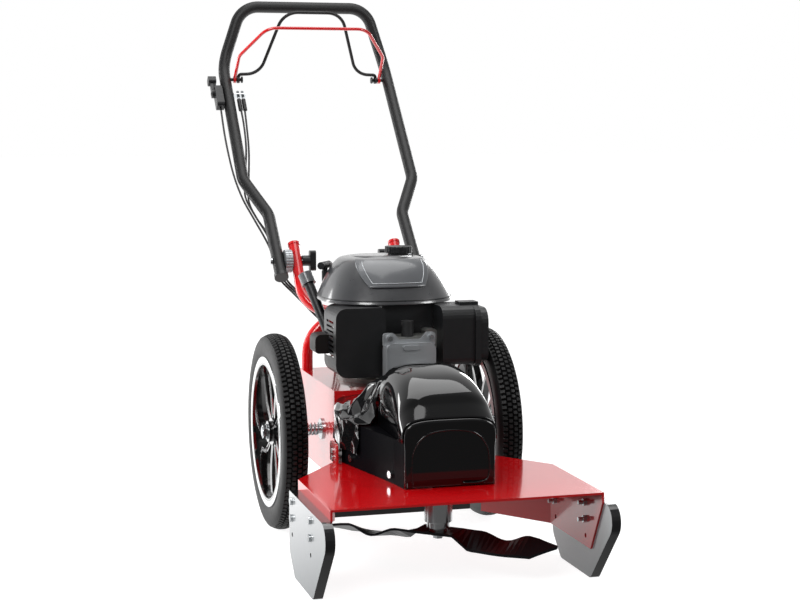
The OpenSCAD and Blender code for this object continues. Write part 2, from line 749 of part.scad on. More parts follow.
module at_bail() {
    translate([0, bail_pivot[0], bail_pivot[1]]) children();
}

module handlebar() {
    path = bend_points(concat(bar_left, bar_right), [0, 60, 60, 90, 58, 58, 90, 60, 60, 0], 6);
    color(paint_black) machine() difference() {
        union() {
            sweep(path, bar_r, bar_sides, [0, -1, 1], bar_r - tube_wall);
            both_sides() at_bail() along_x(bail_pin_end, grip_x - bar_r + 1.2, bail_pin_r);
            both_sides() at_bail() along_x(bail_pin_end - 3, bail_pin_end + 0.5, bail_pin_r + 4);
            at_throttle() cable_bracket();
        }
        both_sides() at_pivot() along_x(bar_x - 20, bar_x + 20, pivot_bolt_d / 2 + run_fit);
    }
}

// Plate on the inner side of the bar with two cable adjusters
adjuster_x = [11, 22];
adjuster_low = -14;
module cable_bracket() {
    translate([2 * bar_r - 1.2, -8, 0]) cube([30, 16, 3]);
    for (x = adjuster_x) translate([2 * bar_r + x, 0, adjuster_low]) cylinder(r = 4, h = 30);
}

module handlebar_caps() {
    cap = bar_tail - 9 * bar_dir;
    plug = bar_tail + 12 * bar_dir;
    seat = bar_tail - seat_gap * bar_dir;
    color(plastic_black) machine() both_sides() {
        straight(bar_point(bar_x, cap), bar_point(bar_x, seat), bar_r + 2, 0);
        straight(bar_point(bar_x, seat), bar_point(bar_x, plug),
            (bar_r - tube_wall) * cos(180 / bar_sides) - seat_gap, 0);
    }
}

// Bails, drawn upright about their pivot and leaned forward
stop_lean = 22;
drive_lean = 44;
stop_l = 174;
drive_l = 168;
wire_r = wire_d / 2;

module bail(lean, eye, path, bends) {
    at_bail() rotate([lean, 0, 0]) difference() {
        union() {
            sweep(bend_points(path, bends, 7), wire_r, 10, [0, 1, 0]);
            both_sides() along_x(eye - 3, eye + 3, bail_pin_r + 4.5);
        }
        both_sides() along_x(eye - 8, eye + 8, bail_pin_r + run_fit);
    }
}

module stop_bail() {
    e = black_eye;
    path = [[-e, 0, 0], [-e + 1, 0, 14], [-122, 0, 16], [-72, 0, stop_l],
        [72, 0, stop_l], [122, 0, 16], [e - 1, 0, 14], [e, 0, 0]];
    color(paint_black) machine() bail(stop_lean, e, path, [0, 7, 44, 48, 48, 44, 7, 0]);
}

module drive_bail() {
    e = red_eye;
    path = [[-e, 0, 0], [-e + 3, 0, 78], [-122, 0, drive_l], [122, 0, drive_l], [e - 3, 0, 78], [e, 0, 0]];
    color(paint_red) machine() bail(drive_lean, e, path, [0, 30, 44, 44, 30, 0]);
}

// Throttle on the outside of the bar beside the right hand of a viewer in front
throttle_at = grip_bend - 104 * grip_dir;
throttle_w = 18;
lever_t = 7;
lever_pin_r = 4;

module at_throttle() {
    translate([-grip_x - bar_r, throttle_at[0], throttle_at[1]]) rotate([grip_slope - 90, 0, 0]) children();
}

module throttle_housing() {
    color(plastic_black) machine() at_throttle() {
        translate([-throttle_w - seat_gap, 0, 0]) side_plate(throttle_w)
            polygon(rounded(box_outline(-14, -38, 14, 30), [8, 8, 12, 12]));
        translate([0, 0, 8]) along_x(-throttle_w - lever_t - 2, -throttle_w + 1, lever_pin_r);
    }
}

module throttle_lever() {
    color(plastic_black) machine() at_throttle() translate([-throttle_w - lever_t - body_gap, 0, 8])
        difference() {
        union() {
            along_x(0, lever_t, 11);
            side_plate(lever_t) polygon([[-6, 0], [6, 0], [5, 40], [-5, 40]]);
            translate([-4, 0, 0]) side_plate(lever_t + 12)
                polygon(rounded(box_outline(-11, 32, 11, 52), [6, 6, 6, 6]));
        }
        along_x(-10, lever_t + 10, lever_pin_r + run_fit);
    }
}

// Control cables down the handlebar, then from its pivot to the chassis
cable_r = cable_d / 2;
function below_throttle(x, drop) = [x - grip_x - bar_r, throttle_at[0] - drop * grip_dir[0],
    throttle_at[1] - drop * grip_dir[1]];
throttle_route = [below_throttle(-throttle_w / 2, 38 + body_gap), [-231, 560, 806], [-226, 490, 728],
    [-214, 440, 672], [-196, 402, 628],
    [-178, 372, 588], [-167, 350, 558], [-166, 322, 531]];
stop_route = [below_throttle(2 * bar_r + adjuster_x[0], body_gap - adjuster_low), [-181, 590, 842],
    [-185, 540, 782], [-196, 500, 714], [-203, 458, 672],
    [-189, 420, 633], [-169, 385, 592], [-160, 353, 560], [-160, 325, 534]];
drive_route = [below_throttle(2 * bar_r + adjuster_x[1], body_gap - adjuster_low), [-173, 596, 840],
    [-177, 548, 778], [-186, 506, 706], [-194, 464, 662],
    [-182, 428, 624], [-162, 392, 588], [-154, 356, 557], [-154, 328, 531]];
lower_route = [[-158, 310, 508], [-150, 303, 488], [-126, 290, 462], [-98, 264, 430], [-66, 240, 392],
    [-52, 224, 350],
    [-50, 206, 304]];

module upper_cables() {
    color(rubber_black) machine() for (p = [throttle_route, stop_route, drive_route])
        cable(curve(p, 2), cable_r);
}

module lower_cables() {
    color(rubber_black) machine() for (k = [0:2]) translate([7 * k, 0, 0])
        cable(curve(lower_route, 2), cable_r);
}

// Engine
module at_engine() {
    translate([engine_x, engine_y, chassis_top]) children();
}

case_r = 74;
case_h = 95;
block_back = -75;
block_front = -165;
block_low = 27;
block_high = 107;
ring_top = cover_base;
oil_end = [34 - cover_rx, cover_ry - 93, 77];
oil_top = [1 - cover_rx, cover_ry - 23, 193];
oil_axis = unit(oil_top - oil_end);
oil_r = 11;

module crankcase() {
    color(cast_alloy) machine() at_engine() difference() {
        union() {
            translate([0, 0, seat_gap]) cylinder(r = flange_r, h = engine_foot - seat_gap);
            cylinder(r = case_r, h = case_h);
            translate([0, 0, case_h - 1]) difference() {
                cylinder(r = case_r, h = ring_top - case_h + 1);
                translate([0, 0, 1]) cylinder(r = case_r - 4, h = ring_top - case_h + 1);
            }
            translate([-36, block_back, engine_foot - 1])
                cube([91, -block_back, block_high - engine_foot - 11]);
            straight(oil_end - 32 * oil_axis, oil_end, oil_r + 3, 0);
            straight([-50, 12, 52], oil_end - 20 * oil_axis, oil_r, 0);
        }
        translate([0, 0, -1]) cylinder(r = crank_d / 2 + run_fit, h = case_h + 2);
        translate([0, 0, -1]) cylinder(r = 0.1 + crank_hole_d / 2 - 10, h = 2);
        for (p = flange_bolts) translate([p.x - engine_x, p.y - engine_y, -1])
            cylinder(d = 9, h = engine_foot + 2);
    }
}

fin_count = 9;
module cylinder_block() {
    color(cast_alloy) machine() at_engine() {
        translate([-26, block_front, block_low + 8]) cube([68, block_back - block_front - seat_gap, 64]);
        for (k = [0:fin_count - 1])
            translate([-34, block_front + 4 + k * 10, block_low]) cube([84, 3, block_high - block_low]);
    }
}

module valve_cover() {
    color(cast_alloy) machine() at_engine() {
        translate([0, block_front - 32, 0]) front_plate(32 - seat_gap) polygon(rounded(
            box_outline(-49, 22, 56, 98), [8, 8, 14, 14]));
        translate([0, block_front - 20, 0]) front_plate(10) polygon(rounded(
            [[-52, 92], [58, 92], [58, 118], [40, 118], [28, 104], [-18, 104], [-30, 118], [-52, 118]],
            [2, 2, 6, 8, 8, 8, 8, 6]));
        for (x = [-40, 48]) translate([x, block_front - 20, 109]) rotate([90, 0, 0]) cylinder(r = 7, h = 6);
        translate([0, block_front - 37, 0]) front_plate(6)
            polygon(rounded(box_outline(-14, 84, 20, 94), [4, 4, 4, 4]));
    }
}

guard_x = [-143, -37];
guard_y = [-147, -42];
guard_z = [23, 167];
guard_t = 2;
louvres = 8;

module muffler_guard() {
    low = [guard_x[0], guard_z[0]];
    high = [guard_x[1], guard_z[1]];
    outer = rounded(box_outline(low.x, low.y, high.x, high.y), [26, 8, 10, 22]);
    inner = rounded(box_outline(low.x + guard_t, low.y + guard_t, high.x + 1, high.y - guard_t),
        [24, 0, 0, 20]);
    color(plastic_black) machine() at_engine() difference() {
        translate([0, guard_y[0], 0]) front_plate(guard_y[1] - guard_y[0]) polygon(outer);
        translate([0, guard_y[0] + guard_t, 0]) front_plate(guard_y[1] - guard_y[0]) polygon(inner);
        for (k = [0:louvres - 1]) translate([guard_x[0] - 1, guard_y[0] + 22, guard_z[0] + 40 + k * 10])
            cube([guard_t + 2, 60, 5]);
        translate([guard_x[0] - 1, -79, 61]) cube([guard_t + 2, 60, 50]);
        cylinder(r = case_r + 1, h = 200);
    }
}

module muffler() {
    color(steel) machine() at_engine() {
        translate([0, -128, 0]) front_plate(64) polygon(rounded(box_outline(-128, 40, -44, 142),
            [18, 18, 18, 18]));
        translate([-44 - 1, -100, 66]) cube([11 - seat_gap, 24, 36]);
        translate([-140, -76, 68]) cube([14, 30, 36]);
        translate([0, -76, 0]) front_plate(52) polygon(rounded(box_outline(-170, 66, -139, 106),
            [8, 4, 4, 12]));
    }
}

module carburettor() {
    color(cast_alloy) machine() at_engine() {
        translate([0, -138, 0]) front_plate(44) polygon(rounded(box_outline(50 + seat_gap, 76,
            76 - seat_gap, 118), [6, 6, 6, 6]));
        translate([63, -116, 44]) cylinder(r = 12, h = 34);
    }
}

cleaner_gap = 5;
air_out = track / 2 - tyre_w / 2 - cleaner_gap - engine_x;
air_x = [76, air_out - 30, air_out];
air_y = [-180, -72];
air_z = [46, 168];

module air_cleaner_case() {
    color(plastic_black) machine() at_engine() translate([air_x[0], 0, 0]) side_plate(air_x[1] - air_x[0])
        polygon(rounded(box_outline(air_y[0], air_z[0], air_y[1], air_z[1]), [14, 14, 14, 24]));
}

module air_cleaner_cover() {
    color(plastic_black) machine() at_engine() {
        translate([air_x[1] + seat_gap, 0, 0]) side_plate(12)
            polygon(rounded(box_outline(air_y[0] - 5, air_z[0] - 4, air_y[1] + 5, air_z[1]),
                [16, 16, 16, 28]));
        translate([air_x[1] + 11, 0, 0]) side_plate(air_x[2] - air_x[1] - 11)
            polygon(rounded(box_outline(air_y[0] + 2, air_z[0] + 4, air_y[1] - 2, air_z[1] - 6),
                [18, 18, 18, 30]));
        translate([air_x[1] - 24, -150, air_z[1] + seat_gap]) cube([40, 34, 6]);
        translate([air_x[1] + seat_gap, -150, air_z[1] - 20]) cube([16, 34, 22]);
    }
}

// Fan cover: level sections from its lower edge to its crown
cover_rows = [[0, 1, 1], [0.08, 0.99, 0.99], [0.36, 0.91, 0.92], [0.66, 0.8, 0.83], [0.86, 0.7, 0.74],
    [0.96, 0.61, 0.65], [1, 0.46, 0.5]];
cover_arc = 40;
cover_y = 5;

function cover_point(row, out, z, a) =
    let (c = cos(a), s = sin(a))
    [(cover_rx * row[1] + out) * sign(c) * pow(abs(c), 0.8),
        cover_y + 22 * row[0] + (cover_ry * row[2] + out) * sign(s) * pow(abs(s), 0.8), z];
function cover_ring(row, out, z) = [for (k = [0:cover_arc - 1])
    cover_point(row, out, z, 360 * k / cover_arc)];

module cover_shell() {
    last = len(cover_rows) - 1;
    skin(concat(
        [for (i = [last:-1:0]) cover_ring(cover_rows[i], 0,
        cover_base + seat_gap + cover_rows[i][0] * cover_h)],
        [for (i = [0:last]) cover_ring(cover_rows[i], -cover_wall,
            cover_base + seat_gap + cover_rows[i][0] * (cover_h - cover_wall))]));
}

// Duct that leads the air of the fan down to the cylinder
duct_y = [-110, -case_r - 2];
fuel_at = [52, 73];
cap_r = 30;
neck_top = cover_base + cover_h + 1;
grip_at = [-112, 80];
eyelet_top = cover_base + cover_h - 35;

module fan_cover() {
    color(plastic_black) machine() at_engine() {
        cover_shell();
        translate([0, 0, cover_base + seat_gap]) linear_extrude(cover_wall) difference() {
            polygon([for (q = cover_ring(cover_rows[0], -1, 0)) [q.x, q.y]]);
            circle(case_r - 6);
        }
        translate([fuel_at.x, fuel_at.y, neck_top - 22]) cylinder(r = cap_r - 7, h = 22);
        translate([grip_at.x, grip_at.y, eyelet_top - 40]) cylinder(r = 7, h = 40);
        translate([0, duct_y[0], 0]) front_plate(duct_y[1] - duct_y[0]) polygon([
            [-35, block_high + seat_gap], [49, block_high + seat_gap], [49, 119], [75, 119],
            [75, cover_base + 1], [-35, cover_base + 1]]);
    }
}

// Raised panel that narrows towards the front
panel_spread = [0, 0, 22, 36, 46, 52];
function panel_grid(out, up) = [for (i = [5:-1:2])
    let (row = cover_rows[i], z = cover_base + seat_gap + row[0] * cover_h + up)
    [for (k = [-5:5]) cover_point(row, out, z, 270 + panel_spread[i] * k / 5)]];

module cover_panel() {
    color("#6a6c70") machine() at_engine() thick_sheet(panel_grid(3, 2.6), panel_grid(0.6, 0.6));
}

module oil_tube() {
    color(plastic_black) machine() at_engine()
        straight(oil_end + seat_gap * oil_axis, oil_top, oil_r, oil_r - 3);
}

module oil_cap() {
    color("#8d9092") machine() at_engine() {
        straight(oil_top + body_gap * oil_axis, oil_top + 26 * oil_axis, oil_r + 5, 0);
        straight(oil_top - 14 * oil_axis, oil_top + 2 * oil_axis, oil_r - 3 - run_fit, 0);
    }
}

module fuel_cap() {
    color(plastic_black) machine() at_engine() translate([fuel_at.x, fuel_at.y, neck_top + body_gap])
        difference() {
        cylinder(r = cap_r, h = 14);
        for (k = [0:17]) rotate(k * 20) translate([cap_r + 1.4, 0, -1]) cylinder(r = 3, h = 20);
    }
}

module starter_grip() {
    color(plastic_black) machine() at_engine() translate([grip_at.x, grip_at.y, eyelet_top + body_gap]) {
        cylinder(r = 6, h = 10);
        translate([0, 0, 12]) rotate(54) along_x(-23, 23, 8);
    }
}

module spark_plug_cap() {
    plug_y = block_front + 14;
    up = block_high + 20;
    color(rubber_black) machine() at_engine() {
        translate([8, plug_y, block_high + seat_gap]) cylinder(r = 13, h = 32);
        bent([[8, plug_y, up], [8, plug_y + 30, up], [8, plug_y + 30, block_high + 1]], [0, 14, 0], 4.5);
    }
}

// Crankshaft, flywheel and pulleys. Belt planes above the axle
cutter_belt_z = axle_z + 47;
drive_belt_z = axle_z + 72;
belt_t = 9;
belt_w = 8;
groove_half = 6.8;
groove_low = 4.9;
groove_d = 10;
flywheel_r = case_r - 8;

module crankshaft() {
    color(steel) machine() translate([engine_x, engine_y, 0]) {
        translate([0, 0, cutter_belt_z - 12]) cylinder(r = crank_d / 2,
            h = chassis_top + cover_base + 12 - cutter_belt_z);
    }
}

module flywheel() {
    color(cast_alloy) machine() at_engine() translate([0, 0, case_h + 6]) difference() {
        union() {
            cylinder(r = flywheel_r, h = 16);
            cylinder(r = 24, h = 40);
            for (k = [0:11]) rotate(k * 30) translate([30, -1.5, 15]) cube([flywheel_r - 32, 3, 20]);
        }
        translate([0, 0, -1]) cylinder(r = crank_d / 2 + seat_gap, h = 50);
    }
}

// Half section of a pulley with one V groove, from its bore to its rim
module pulley(r, bore) {
    rotate_extrude() polygon([[bore, -groove_half - 3], [r, -groove_half - 3], [r, -groove_half],
        [r - groove_d, -groove_low], [r - groove_d, groove_low], [r, groove_half], [r, groove_half + 3],
        [bore, groove_half + 3]]);
}

module engine_pulley() {
    bore = crank_d / 2 + seat_gap;
    color(steel) machine() translate([engine_x, engine_y, 0]) {
        translate([0, 0, cutter_belt_z]) pulley(engine_pulley_r, bore);
        translate([0, 0, drive_belt_z]) pulley(drive_pulley_r, bore);
        translate([0, 0, cutter_belt_z]) bearing(crank_d / 2 + 7, bore, drive_belt_z - cutter_belt_z);
    }
}

// Belt round two pulleys, as a closed band with straight runs on both sides
function belt_run(a, b) = atan2(b.y - a.y, b.x - a.x);
function belt_tilt(a, ra, b, rb) = asin((ra - rb) / norm(b - a));
module belt_outline(a, ra, b, rb) {
    up = belt_run(a, b) + 90 - belt_tilt(a, ra, b, rb);
    down = belt_run(a, b) - 90 + belt_tilt(a, ra, b, rb);
    polygon(concat(
        [for (k = [0:24]) let (t = up + k / 24 * (360 + down - up)) a + ra * [cos(t), sin(t)]],
        [for (k = [0:24]) let (t = down + k / 24 * (up - down)) b + rb * [cos(t), sin(t)]]));
}

module belt(z, a, ra, b, rb) {
    color(rubber_black) machine() translate([0, 0, z - belt_t / 2]) linear_extrude(belt_t) difference() {
        belt_outline(a, ra, b, rb);
        belt_outline(a, ra - belt_w, b, rb - belt_w);
    }
}

module cutter_belt() {
    belt(cutter_belt_z, [engine_x, engine_y], engine_pulley_r, [0, -spindle_y], spindle_pulley_r);
}

module drive_belt() {
    belt(drive_belt_z, [engine_x, engine_y], drive_pulley_r, [0, worm_y], input_pulley_r);
}

// Spindle shaft, its pulley and the blade
shaft_low = blade_z + blade_t / 2;
blade_bolt_d = 12;

module spindle_shaft() {
    color(steel) machine() at_spindle() difference() {
        union() {
            translate([0, 0, shaft_low]) cylinder(r = spindle_d / 2, h = cutter_belt_z + 16 - shaft_low);
            translate([0, 0, shaft_low]) cylinder(r = spindle_d / 2 + 8,
                h = housing_low - body_gap - shaft_low);
        }
        translate([0, 0, shaft_low - 1]) cylinder(r = blade_bolt_d / 2 + seat_gap, h = 31);
    }
}

module spindle_pulley() {
    color(steel) machine() at_spindle() translate([0, 0, cutter_belt_z])
        pulley(spindle_pulley_r, spindle_d / 2 + seat_gap);
}

module blade_bolt() {
    under = blade_z - blade_t / 2 - seat_gap;
    color(steel) machine() at_spindle() {
        translate([0, 0, under - 4]) cylinder(r = 17, h = 4);
        translate([0, 0, under - 11]) cylinder(r = 10, h = 8, $fn = 6);
        translate([0, 0, under - 1]) cylinder(r = blade_bolt_d / 2, h = 26);
    }
}

// Blade: flat middle and two wings that dip at the leading edge and ripple along their length
blade_turn = -41;
blade_flat = 40;
wing_steps = 20;
blade_wave = 15;

function wing_half(s) = blade_w / 2 * (1 - 0.12 * sin(s * 540));
function wing_low(s) = -blade_dip * min(1, s / 0.16);
function wing_high(s) = s > 0.2 && s < 0.7 ? -blade_wave * pow(sin(360 * (s - 0.2)), 2)
    : -blade_wave * 1.6 * max(0, s - 0.7);
function wing_row(k) =
    let (s = k / wing_steps, tip = max(0, s - 0.8) / 0.2, x = blade_flat + s * (blade_l / 2 - blade_flat),
        w = wing_half(s))
    let (back = w * (1 - 0.35 * tip), front = -w * (1 - 1.5 * tip), low = wing_low(s), high = wing_high(s))
    let (fore = mix(high, low, (w - front) / (2 * w)), aft = mix(high, low, (w - back) / (2 * w)),
        t = blade_t / 2)
    [[x, front, fore - t], [x, back, aft - t], [x, back, aft + t], [x, front, fore + t]];

module wing() {
    skin([for (k = [0:wing_steps]) wing_row(k)]);
}

module cutter_blade() {
    color("#26272b") machine() at_spindle() translate([0, 0, blade_z]) rotate(blade_turn) difference() {
        union() {
            translate([-blade_flat - 0.5, -blade_w / 2, -blade_t / 2])
                cube([2 * blade_flat + 1, blade_w, blade_t]);
            wing();
            rotate(180) wing();
        }
        translate([0, 0, -blade_t]) cylinder(r = blade_bolt_d / 2 + seat_gap, h = 2 * blade_t);
    }
}

// Axle, dog clutches and wheels
hub_in = track / 2 - 36;
hub_out = track / 2 + 20;
axle_half = hub_out + 12;
dog_l = 22;
dog_x = hub_in - body_gap - dog_l;
dog_r = 17;

module axle_shaft() {
    nut_x = hub_out + body_gap;
    color(steel) machine() translate([0, 0, axle_z]) {
        along_x(-axle_half, axle_half, axle_d / 2);
        along_x(-8, 8, gear_r);
        both_sides() along_x(nut_x, nut_x + 3, axle_d / 2 + 6);
        both_sides() translate([nut_x + 2, 0, 0]) rotate([0, 90, 0])
            cylinder(r = axle_d / 2 + 5, h = 8, $fn = 6);
    }
}

// Idler of the drive belt: an arm on a stud under the chassis top, with its roller beside the slack run
roller_r = 14;
idler_gap = 8;
idler_reach = [35, -46];
stud_r = 5;
drive_a = [engine_x, engine_y];
drive_b = [0, worm_y];
slack_turn = belt_run(drive_a, drive_b) - 90 + belt_tilt(drive_a, drive_pulley_r, drive_b, input_pulley_r);
slack = [cos(slack_turn), sin(slack_turn)];
roller_at = (drive_a + drive_b + (drive_pulley_r + input_pulley_r) * slack) / 2
    + (roller_r + idler_gap) * slack;
stud_at = roller_at - idler_reach;

module idler_arm() {
    across = 9 * unit([-idler_reach.y, idler_reach.x]);
    color(steel) machine() difference() {
        union() {
            translate([stud_at.x, stud_at.y, drive_belt_z + 6]) cylinder(r = 11, h = 10);
            translate([roller_at.x, roller_at.y, drive_belt_z - 6]) cylinder(r = roller_r, h = 13);
            translate([0, 0, drive_belt_z + 6]) linear_extrude(4) polygon([
                stud_at + across, stud_at - across, roller_at - across, roller_at + across]);
        }
        translate([stud_at.x, stud_at.y, drive_belt_z]) cylinder(r = stud_r + run_fit, h = 30);
    }
}

module dog_clutches() {
    color(steel) machine() both_sides() translate([dog_x, 0, axle_z]) rotate([0, 90, 0]) difference() {
        cylinder(r = dog_r, h = dog_l);
        translate([0, 0, -1]) cylinder(r = axle_d / 2 + seat_gap, h = dog_l + 2);
        for (k = [0:5]) rotate(k * 60) translate([axle_d / 2, -3, dog_l - 8]) cube([dog_r, 6, 9]);
    }
}

// Return springs of the dog clutches, one unbroken wire each
spring_wire = 3;
spring_curls = 4;
spring_from = chassis_w / 2 + 5;
spring_to = dog_x - 0.3;
spring_r = axle_d / 2 + spring_wire / 2 + 1.5;
spring_pitch = (spring_to - spring_from - spring_wire) / spring_curls;

function spring_point(t) = [spring_from + spring_wire / 2 + spring_pitch * t, spring_r * cos(360 * t),
    spring_r * sin(360 * t)];
spring_path = [for (i = [0:8 * spring_curls]) spring_point(i / 8)];
spring_gap = min([for (i = [0:8 * spring_curls - 8], j = [i + 6:min(i + 10, 8 * spring_curls)])
    norm(spring_path[i] - spring_path[j]) - spring_wire]);
echo(least_gap_between_spring_curls = spring_gap);

module dog_springs() {
    last = len(spring_path) - 1;
    color(steel) machine() both_sides() translate([0, 0, axle_z]) skin([for (i = [0:last])
        let (a = 45 * i, out = [0, cos(a), sin(a)],
            t = unit([spring_pitch, -spring_r * 6.2832 * sin(a), spring_r * 6.2832 * cos(a)]))
        let (side = cross(t, out))
        [for (k = [0:5]) spring_path[i] + spring_wire / 2 * (cos(60 * k) * out - sin(60 * k) * side)]]);
}

module drive_input() {
    pulley_z = drive_belt_z;
    color(steel) machine() translate([0, worm_y, 0]) {
        translate([0, 0, gearbox_low + 10 + body_gap])
            cylinder(r = input_d / 2, h = pulley_z + 2 - gearbox_low - body_gap);
        translate([0, 0, axle_z - 16]) cylinder(r = worm_r, h = 32);
        translate([0, 0, pulley_z]) pulley(input_pulley_r, input_d / 2 - 1);
    }
}

// Wheels, drawn with their axis along X and their outer face towards +X
rim_half = tyre_w / 2 - 4;
rim_t = 4;
edge_t = 3;
bead_r = bead_d / 2;

function spoke_line(t, side, off) =
    [(1 - t) * (hub_d / 2 - 6) + t * (bead_r - 2), side * (8 + 20 * sin(150 * t)) + off];

module spoke_pair() {
    for (side = [-1, 1]) translate([0, 0, -7]) linear_extrude(14) polygon(concat(
        [for (k = [0:10]) spoke_line(k / 10, side, -4.5)],
        [for (k = [10:-1:0]) spoke_line(k / 10, side, 4.5)]));
}

module rim() {
    rotate([0, 90, 0]) difference() {
        union() {
            rotate_extrude() polygon([[bead_r - rim_t, -rim_half - edge_t],
                [bead_r + rim_edge, -rim_half - edge_t],
                [bead_r + rim_edge, -rim_half], [bead_r, -rim_half], [bead_r, rim_half],
                [bead_r + rim_edge, rim_half],
                [bead_r + rim_edge, rim_half + edge_t], [bead_r - rim_t - 4, rim_half + edge_t],
                [bead_r - rim_t, rim_half - 4]]);
            translate([0, 0, hub_in - track / 2]) cylinder(d = hub_d - 14, h = hub_out - hub_in);
            translate([0, 0, -12]) cylinder(d = hub_d, h = 24);
            for (k = [0:spokes - 1]) rotate(k * 360 / spokes) spoke_pair();
        }
        translate([0, 0, hub_in - track / 2 - 1]) cylinder(r = axle_d / 2 + run_fit,
            h = hub_out - hub_in + 2);
    }
}

module tyre() {
    r = tyre_d / 2;
    half = tyre_w / 2;
    w = rim_half - seat_gap;
    side = bead_r + rim_edge;
    profile = [[bead_r + seat_gap, -w], [side, -w], [side + 12, -half], [r - 20, -half],
        [r - 7, -half + 5], [r, -half + 14],
        [r, -7], [r - 4, -6], [r - 4, -3], [r, -2], [r, 2], [r - 4, 3], [r - 4, 6], [r, 7],
        [r, half - 14], [r - 7, half - 5], [r - 20, half], [side + 12, half], [side, w],
        [bead_r + seat_gap, w]];
    rotate([0, 90, 0]) rotate_extrude() polygon(profile);
}

module rim_left() {
    color(paint_black) machine() translate([track / 2, 0, axle_z]) rim();
}

module rim_right() {
    color(paint_black) machine() mirror([1, 0, 0]) translate([track / 2, 0, axle_z]) rim();
}

module tyre_left() {
    color(rubber_black) machine() translate([track / 2, 0, axle_z]) tyre();
}

module tyre_right() {
    color(rubber_black) machine() mirror([1, 0, 0]) translate([track / 2, 0, axle_z]) tyre();
}

chassis_box();
deck_plate();
rear_flap();
skid_left();
skid_right();
frame_bolts();
spindle_housing();
bearings();
belt_tunnel();
belt_apron();
front_hood();
gearbox_housing();
rear_arch();
handle_fork();
fixed_ratchets();
crankcase();
cylinder_block();
valve_cover();
muffler();
muffler_guard();
carburettor();
air_cleaner_case();
air_cleaner_cover();
fan_cover();
cover_panel();
oil_tube();
spark_plug_cap();
cutter_belt();
drive_belt();
lower_cables();
crankshaft();
flywheel();
engine_pulley();
spindle_shaft();
spindle_pulley();
cutter_blade();
blade_bolt();
axle_shaft();
idler_arm();
dog_clutches();
dog_springs();
drive_input();
rim_left();
rim_right();
tyre_left();
tyre_right();
handlebar();
handlebar_caps();
moving_ratchets();
pivot_bolts();
upper_cables();
throttle_housing();
stop_bail();
drive_bail();
throttle_lever();
clamp_knob_left();
clamp_knob_right();
fuel_cap();
oil_cap();
starter_grip();
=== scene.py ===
"""Looks of a walk-behind brush cutter: materials, finer pieces over some CAD nodes, and a white studio."""

import math

import bpy
from bpy.props import FloatProperty, FloatVectorProperty, IntProperty, PointerProperty
from mathutils import Matrix, Vector


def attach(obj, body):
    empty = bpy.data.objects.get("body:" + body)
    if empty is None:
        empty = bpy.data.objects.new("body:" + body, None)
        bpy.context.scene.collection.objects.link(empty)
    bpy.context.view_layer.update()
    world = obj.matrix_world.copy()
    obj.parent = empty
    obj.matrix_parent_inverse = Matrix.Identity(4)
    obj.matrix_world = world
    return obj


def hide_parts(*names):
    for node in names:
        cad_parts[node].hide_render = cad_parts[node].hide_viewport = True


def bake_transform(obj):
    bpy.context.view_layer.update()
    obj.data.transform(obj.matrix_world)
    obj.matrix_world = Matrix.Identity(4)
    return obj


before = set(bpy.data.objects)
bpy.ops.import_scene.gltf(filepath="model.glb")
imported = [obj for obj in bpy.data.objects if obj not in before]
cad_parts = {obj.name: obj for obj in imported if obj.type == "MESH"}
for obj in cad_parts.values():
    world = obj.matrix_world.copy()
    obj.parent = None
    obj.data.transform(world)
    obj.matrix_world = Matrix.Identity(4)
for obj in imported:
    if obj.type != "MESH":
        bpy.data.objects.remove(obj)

bl_info = {
    "name": "Brush cutter looks",
    "version": (1, 0, 0),
    "blender": (4, 2, 0),
    "location": "View3D > Sidebar > Brush cutter",
    "description": "Materials, finer pieces and studio for a walk-behind brush cutter",
    "category": "Object",
}

# Places in millimetres from the axle, as in the CAD source: x left, y back, z up
Y_SHIFT = -48.0926
AXLE_Z, CHASSIS_TOP, DECK_TOP = 205.0, 303.0, 177.0
TUNNEL_H = 86.0
TUNNEL_TOP = DECK_TOP + TUNNEL_H
TRACK_HALF = 227.0
ENGINE = (20.0, 47.0)
# The belt tunnel's half width at three places along it, as (y, x)
FLANK = ((-112, 126), (-216, 140), (-436, 94))

# The handlebar's pivot, upper bend and bail studs as (y, z), and its legs' x below and above the S-bend
PIVOT = (296.168, 535.549)
GRIP_BEND = (730.185, 984.177)
BAIL = (697.205, 949.302)
BAR_X, GRIP_X, BAR_R = 159.94, 205.94, 14.0
LOW_DIR = (math.cos(math.radians(43)), math.sin(math.radians(43)))
GRIP_DIR = (math.cos(math.radians(46.6)), math.sin(math.radians(46.6)))
BRACKET_DROP = 104.0
BRACKET = [GRIP_BEND[i] - BRACKET_DROP * GRIP_DIR[i] for i in (0, 1)]

# Hood: ends, height and half width, and its sections as shares of the length, height and width
HOOD_FRONT, HOOD_REAR, HOOD_H, HOOD_HALF, HOOD_ARC = -492.0, -300.0, 206.0, 91.0, 56
HOOD_LENGTH = HOOD_REAR - HOOD_FRONT
HOOD_ROWS = [
    [0, 0.585, 0.95], [0.02, 0.612, 0.98], [0.14, 0.728, 0.99], [0.255, 0.84, 0.98], [0.48, 0.947, 0.96],
    [0.79, 1, 0.94], [1, 0.985, 0.93],
]

# Fan cover: foot, height and half sizes, how far it sits and leans back from the crankshaft, and its
# sections as shares of the height and of both half sizes
COVER_FOOT, COVER_H, COVER_RX, COVER_RY, COVER_ARC = CHASSIS_TOP + 170, 90, 141, 135, 96
COVER_BACK, COVER_LEAN = 5, 22
COVER_ROWS = [
    [0, 1, 1], [0.08, 0.99, 0.99], [0.36, 0.91, 0.92], [0.66, 0.8, 0.83], [0.86, 0.7, 0.74],
    [0.96, 0.61, 0.65], [1, 0.46, 0.5],
]


def at(x, y, z):
    """A point in metres in the row frame."""
    return Vector((x, y + Y_SHIFT, z)) / 1000


def linear(hexa):
    """Linear colour from an sRGB hex value."""
    parts = [int(hexa[i : i + 2], 16) / 255 for i in (1, 3, 5)]
    return [c / 12.92 if c <= 0.04045 else ((c + 0.055) / 1.055) ** 2.4 for c in parts] + [1]


# Materials


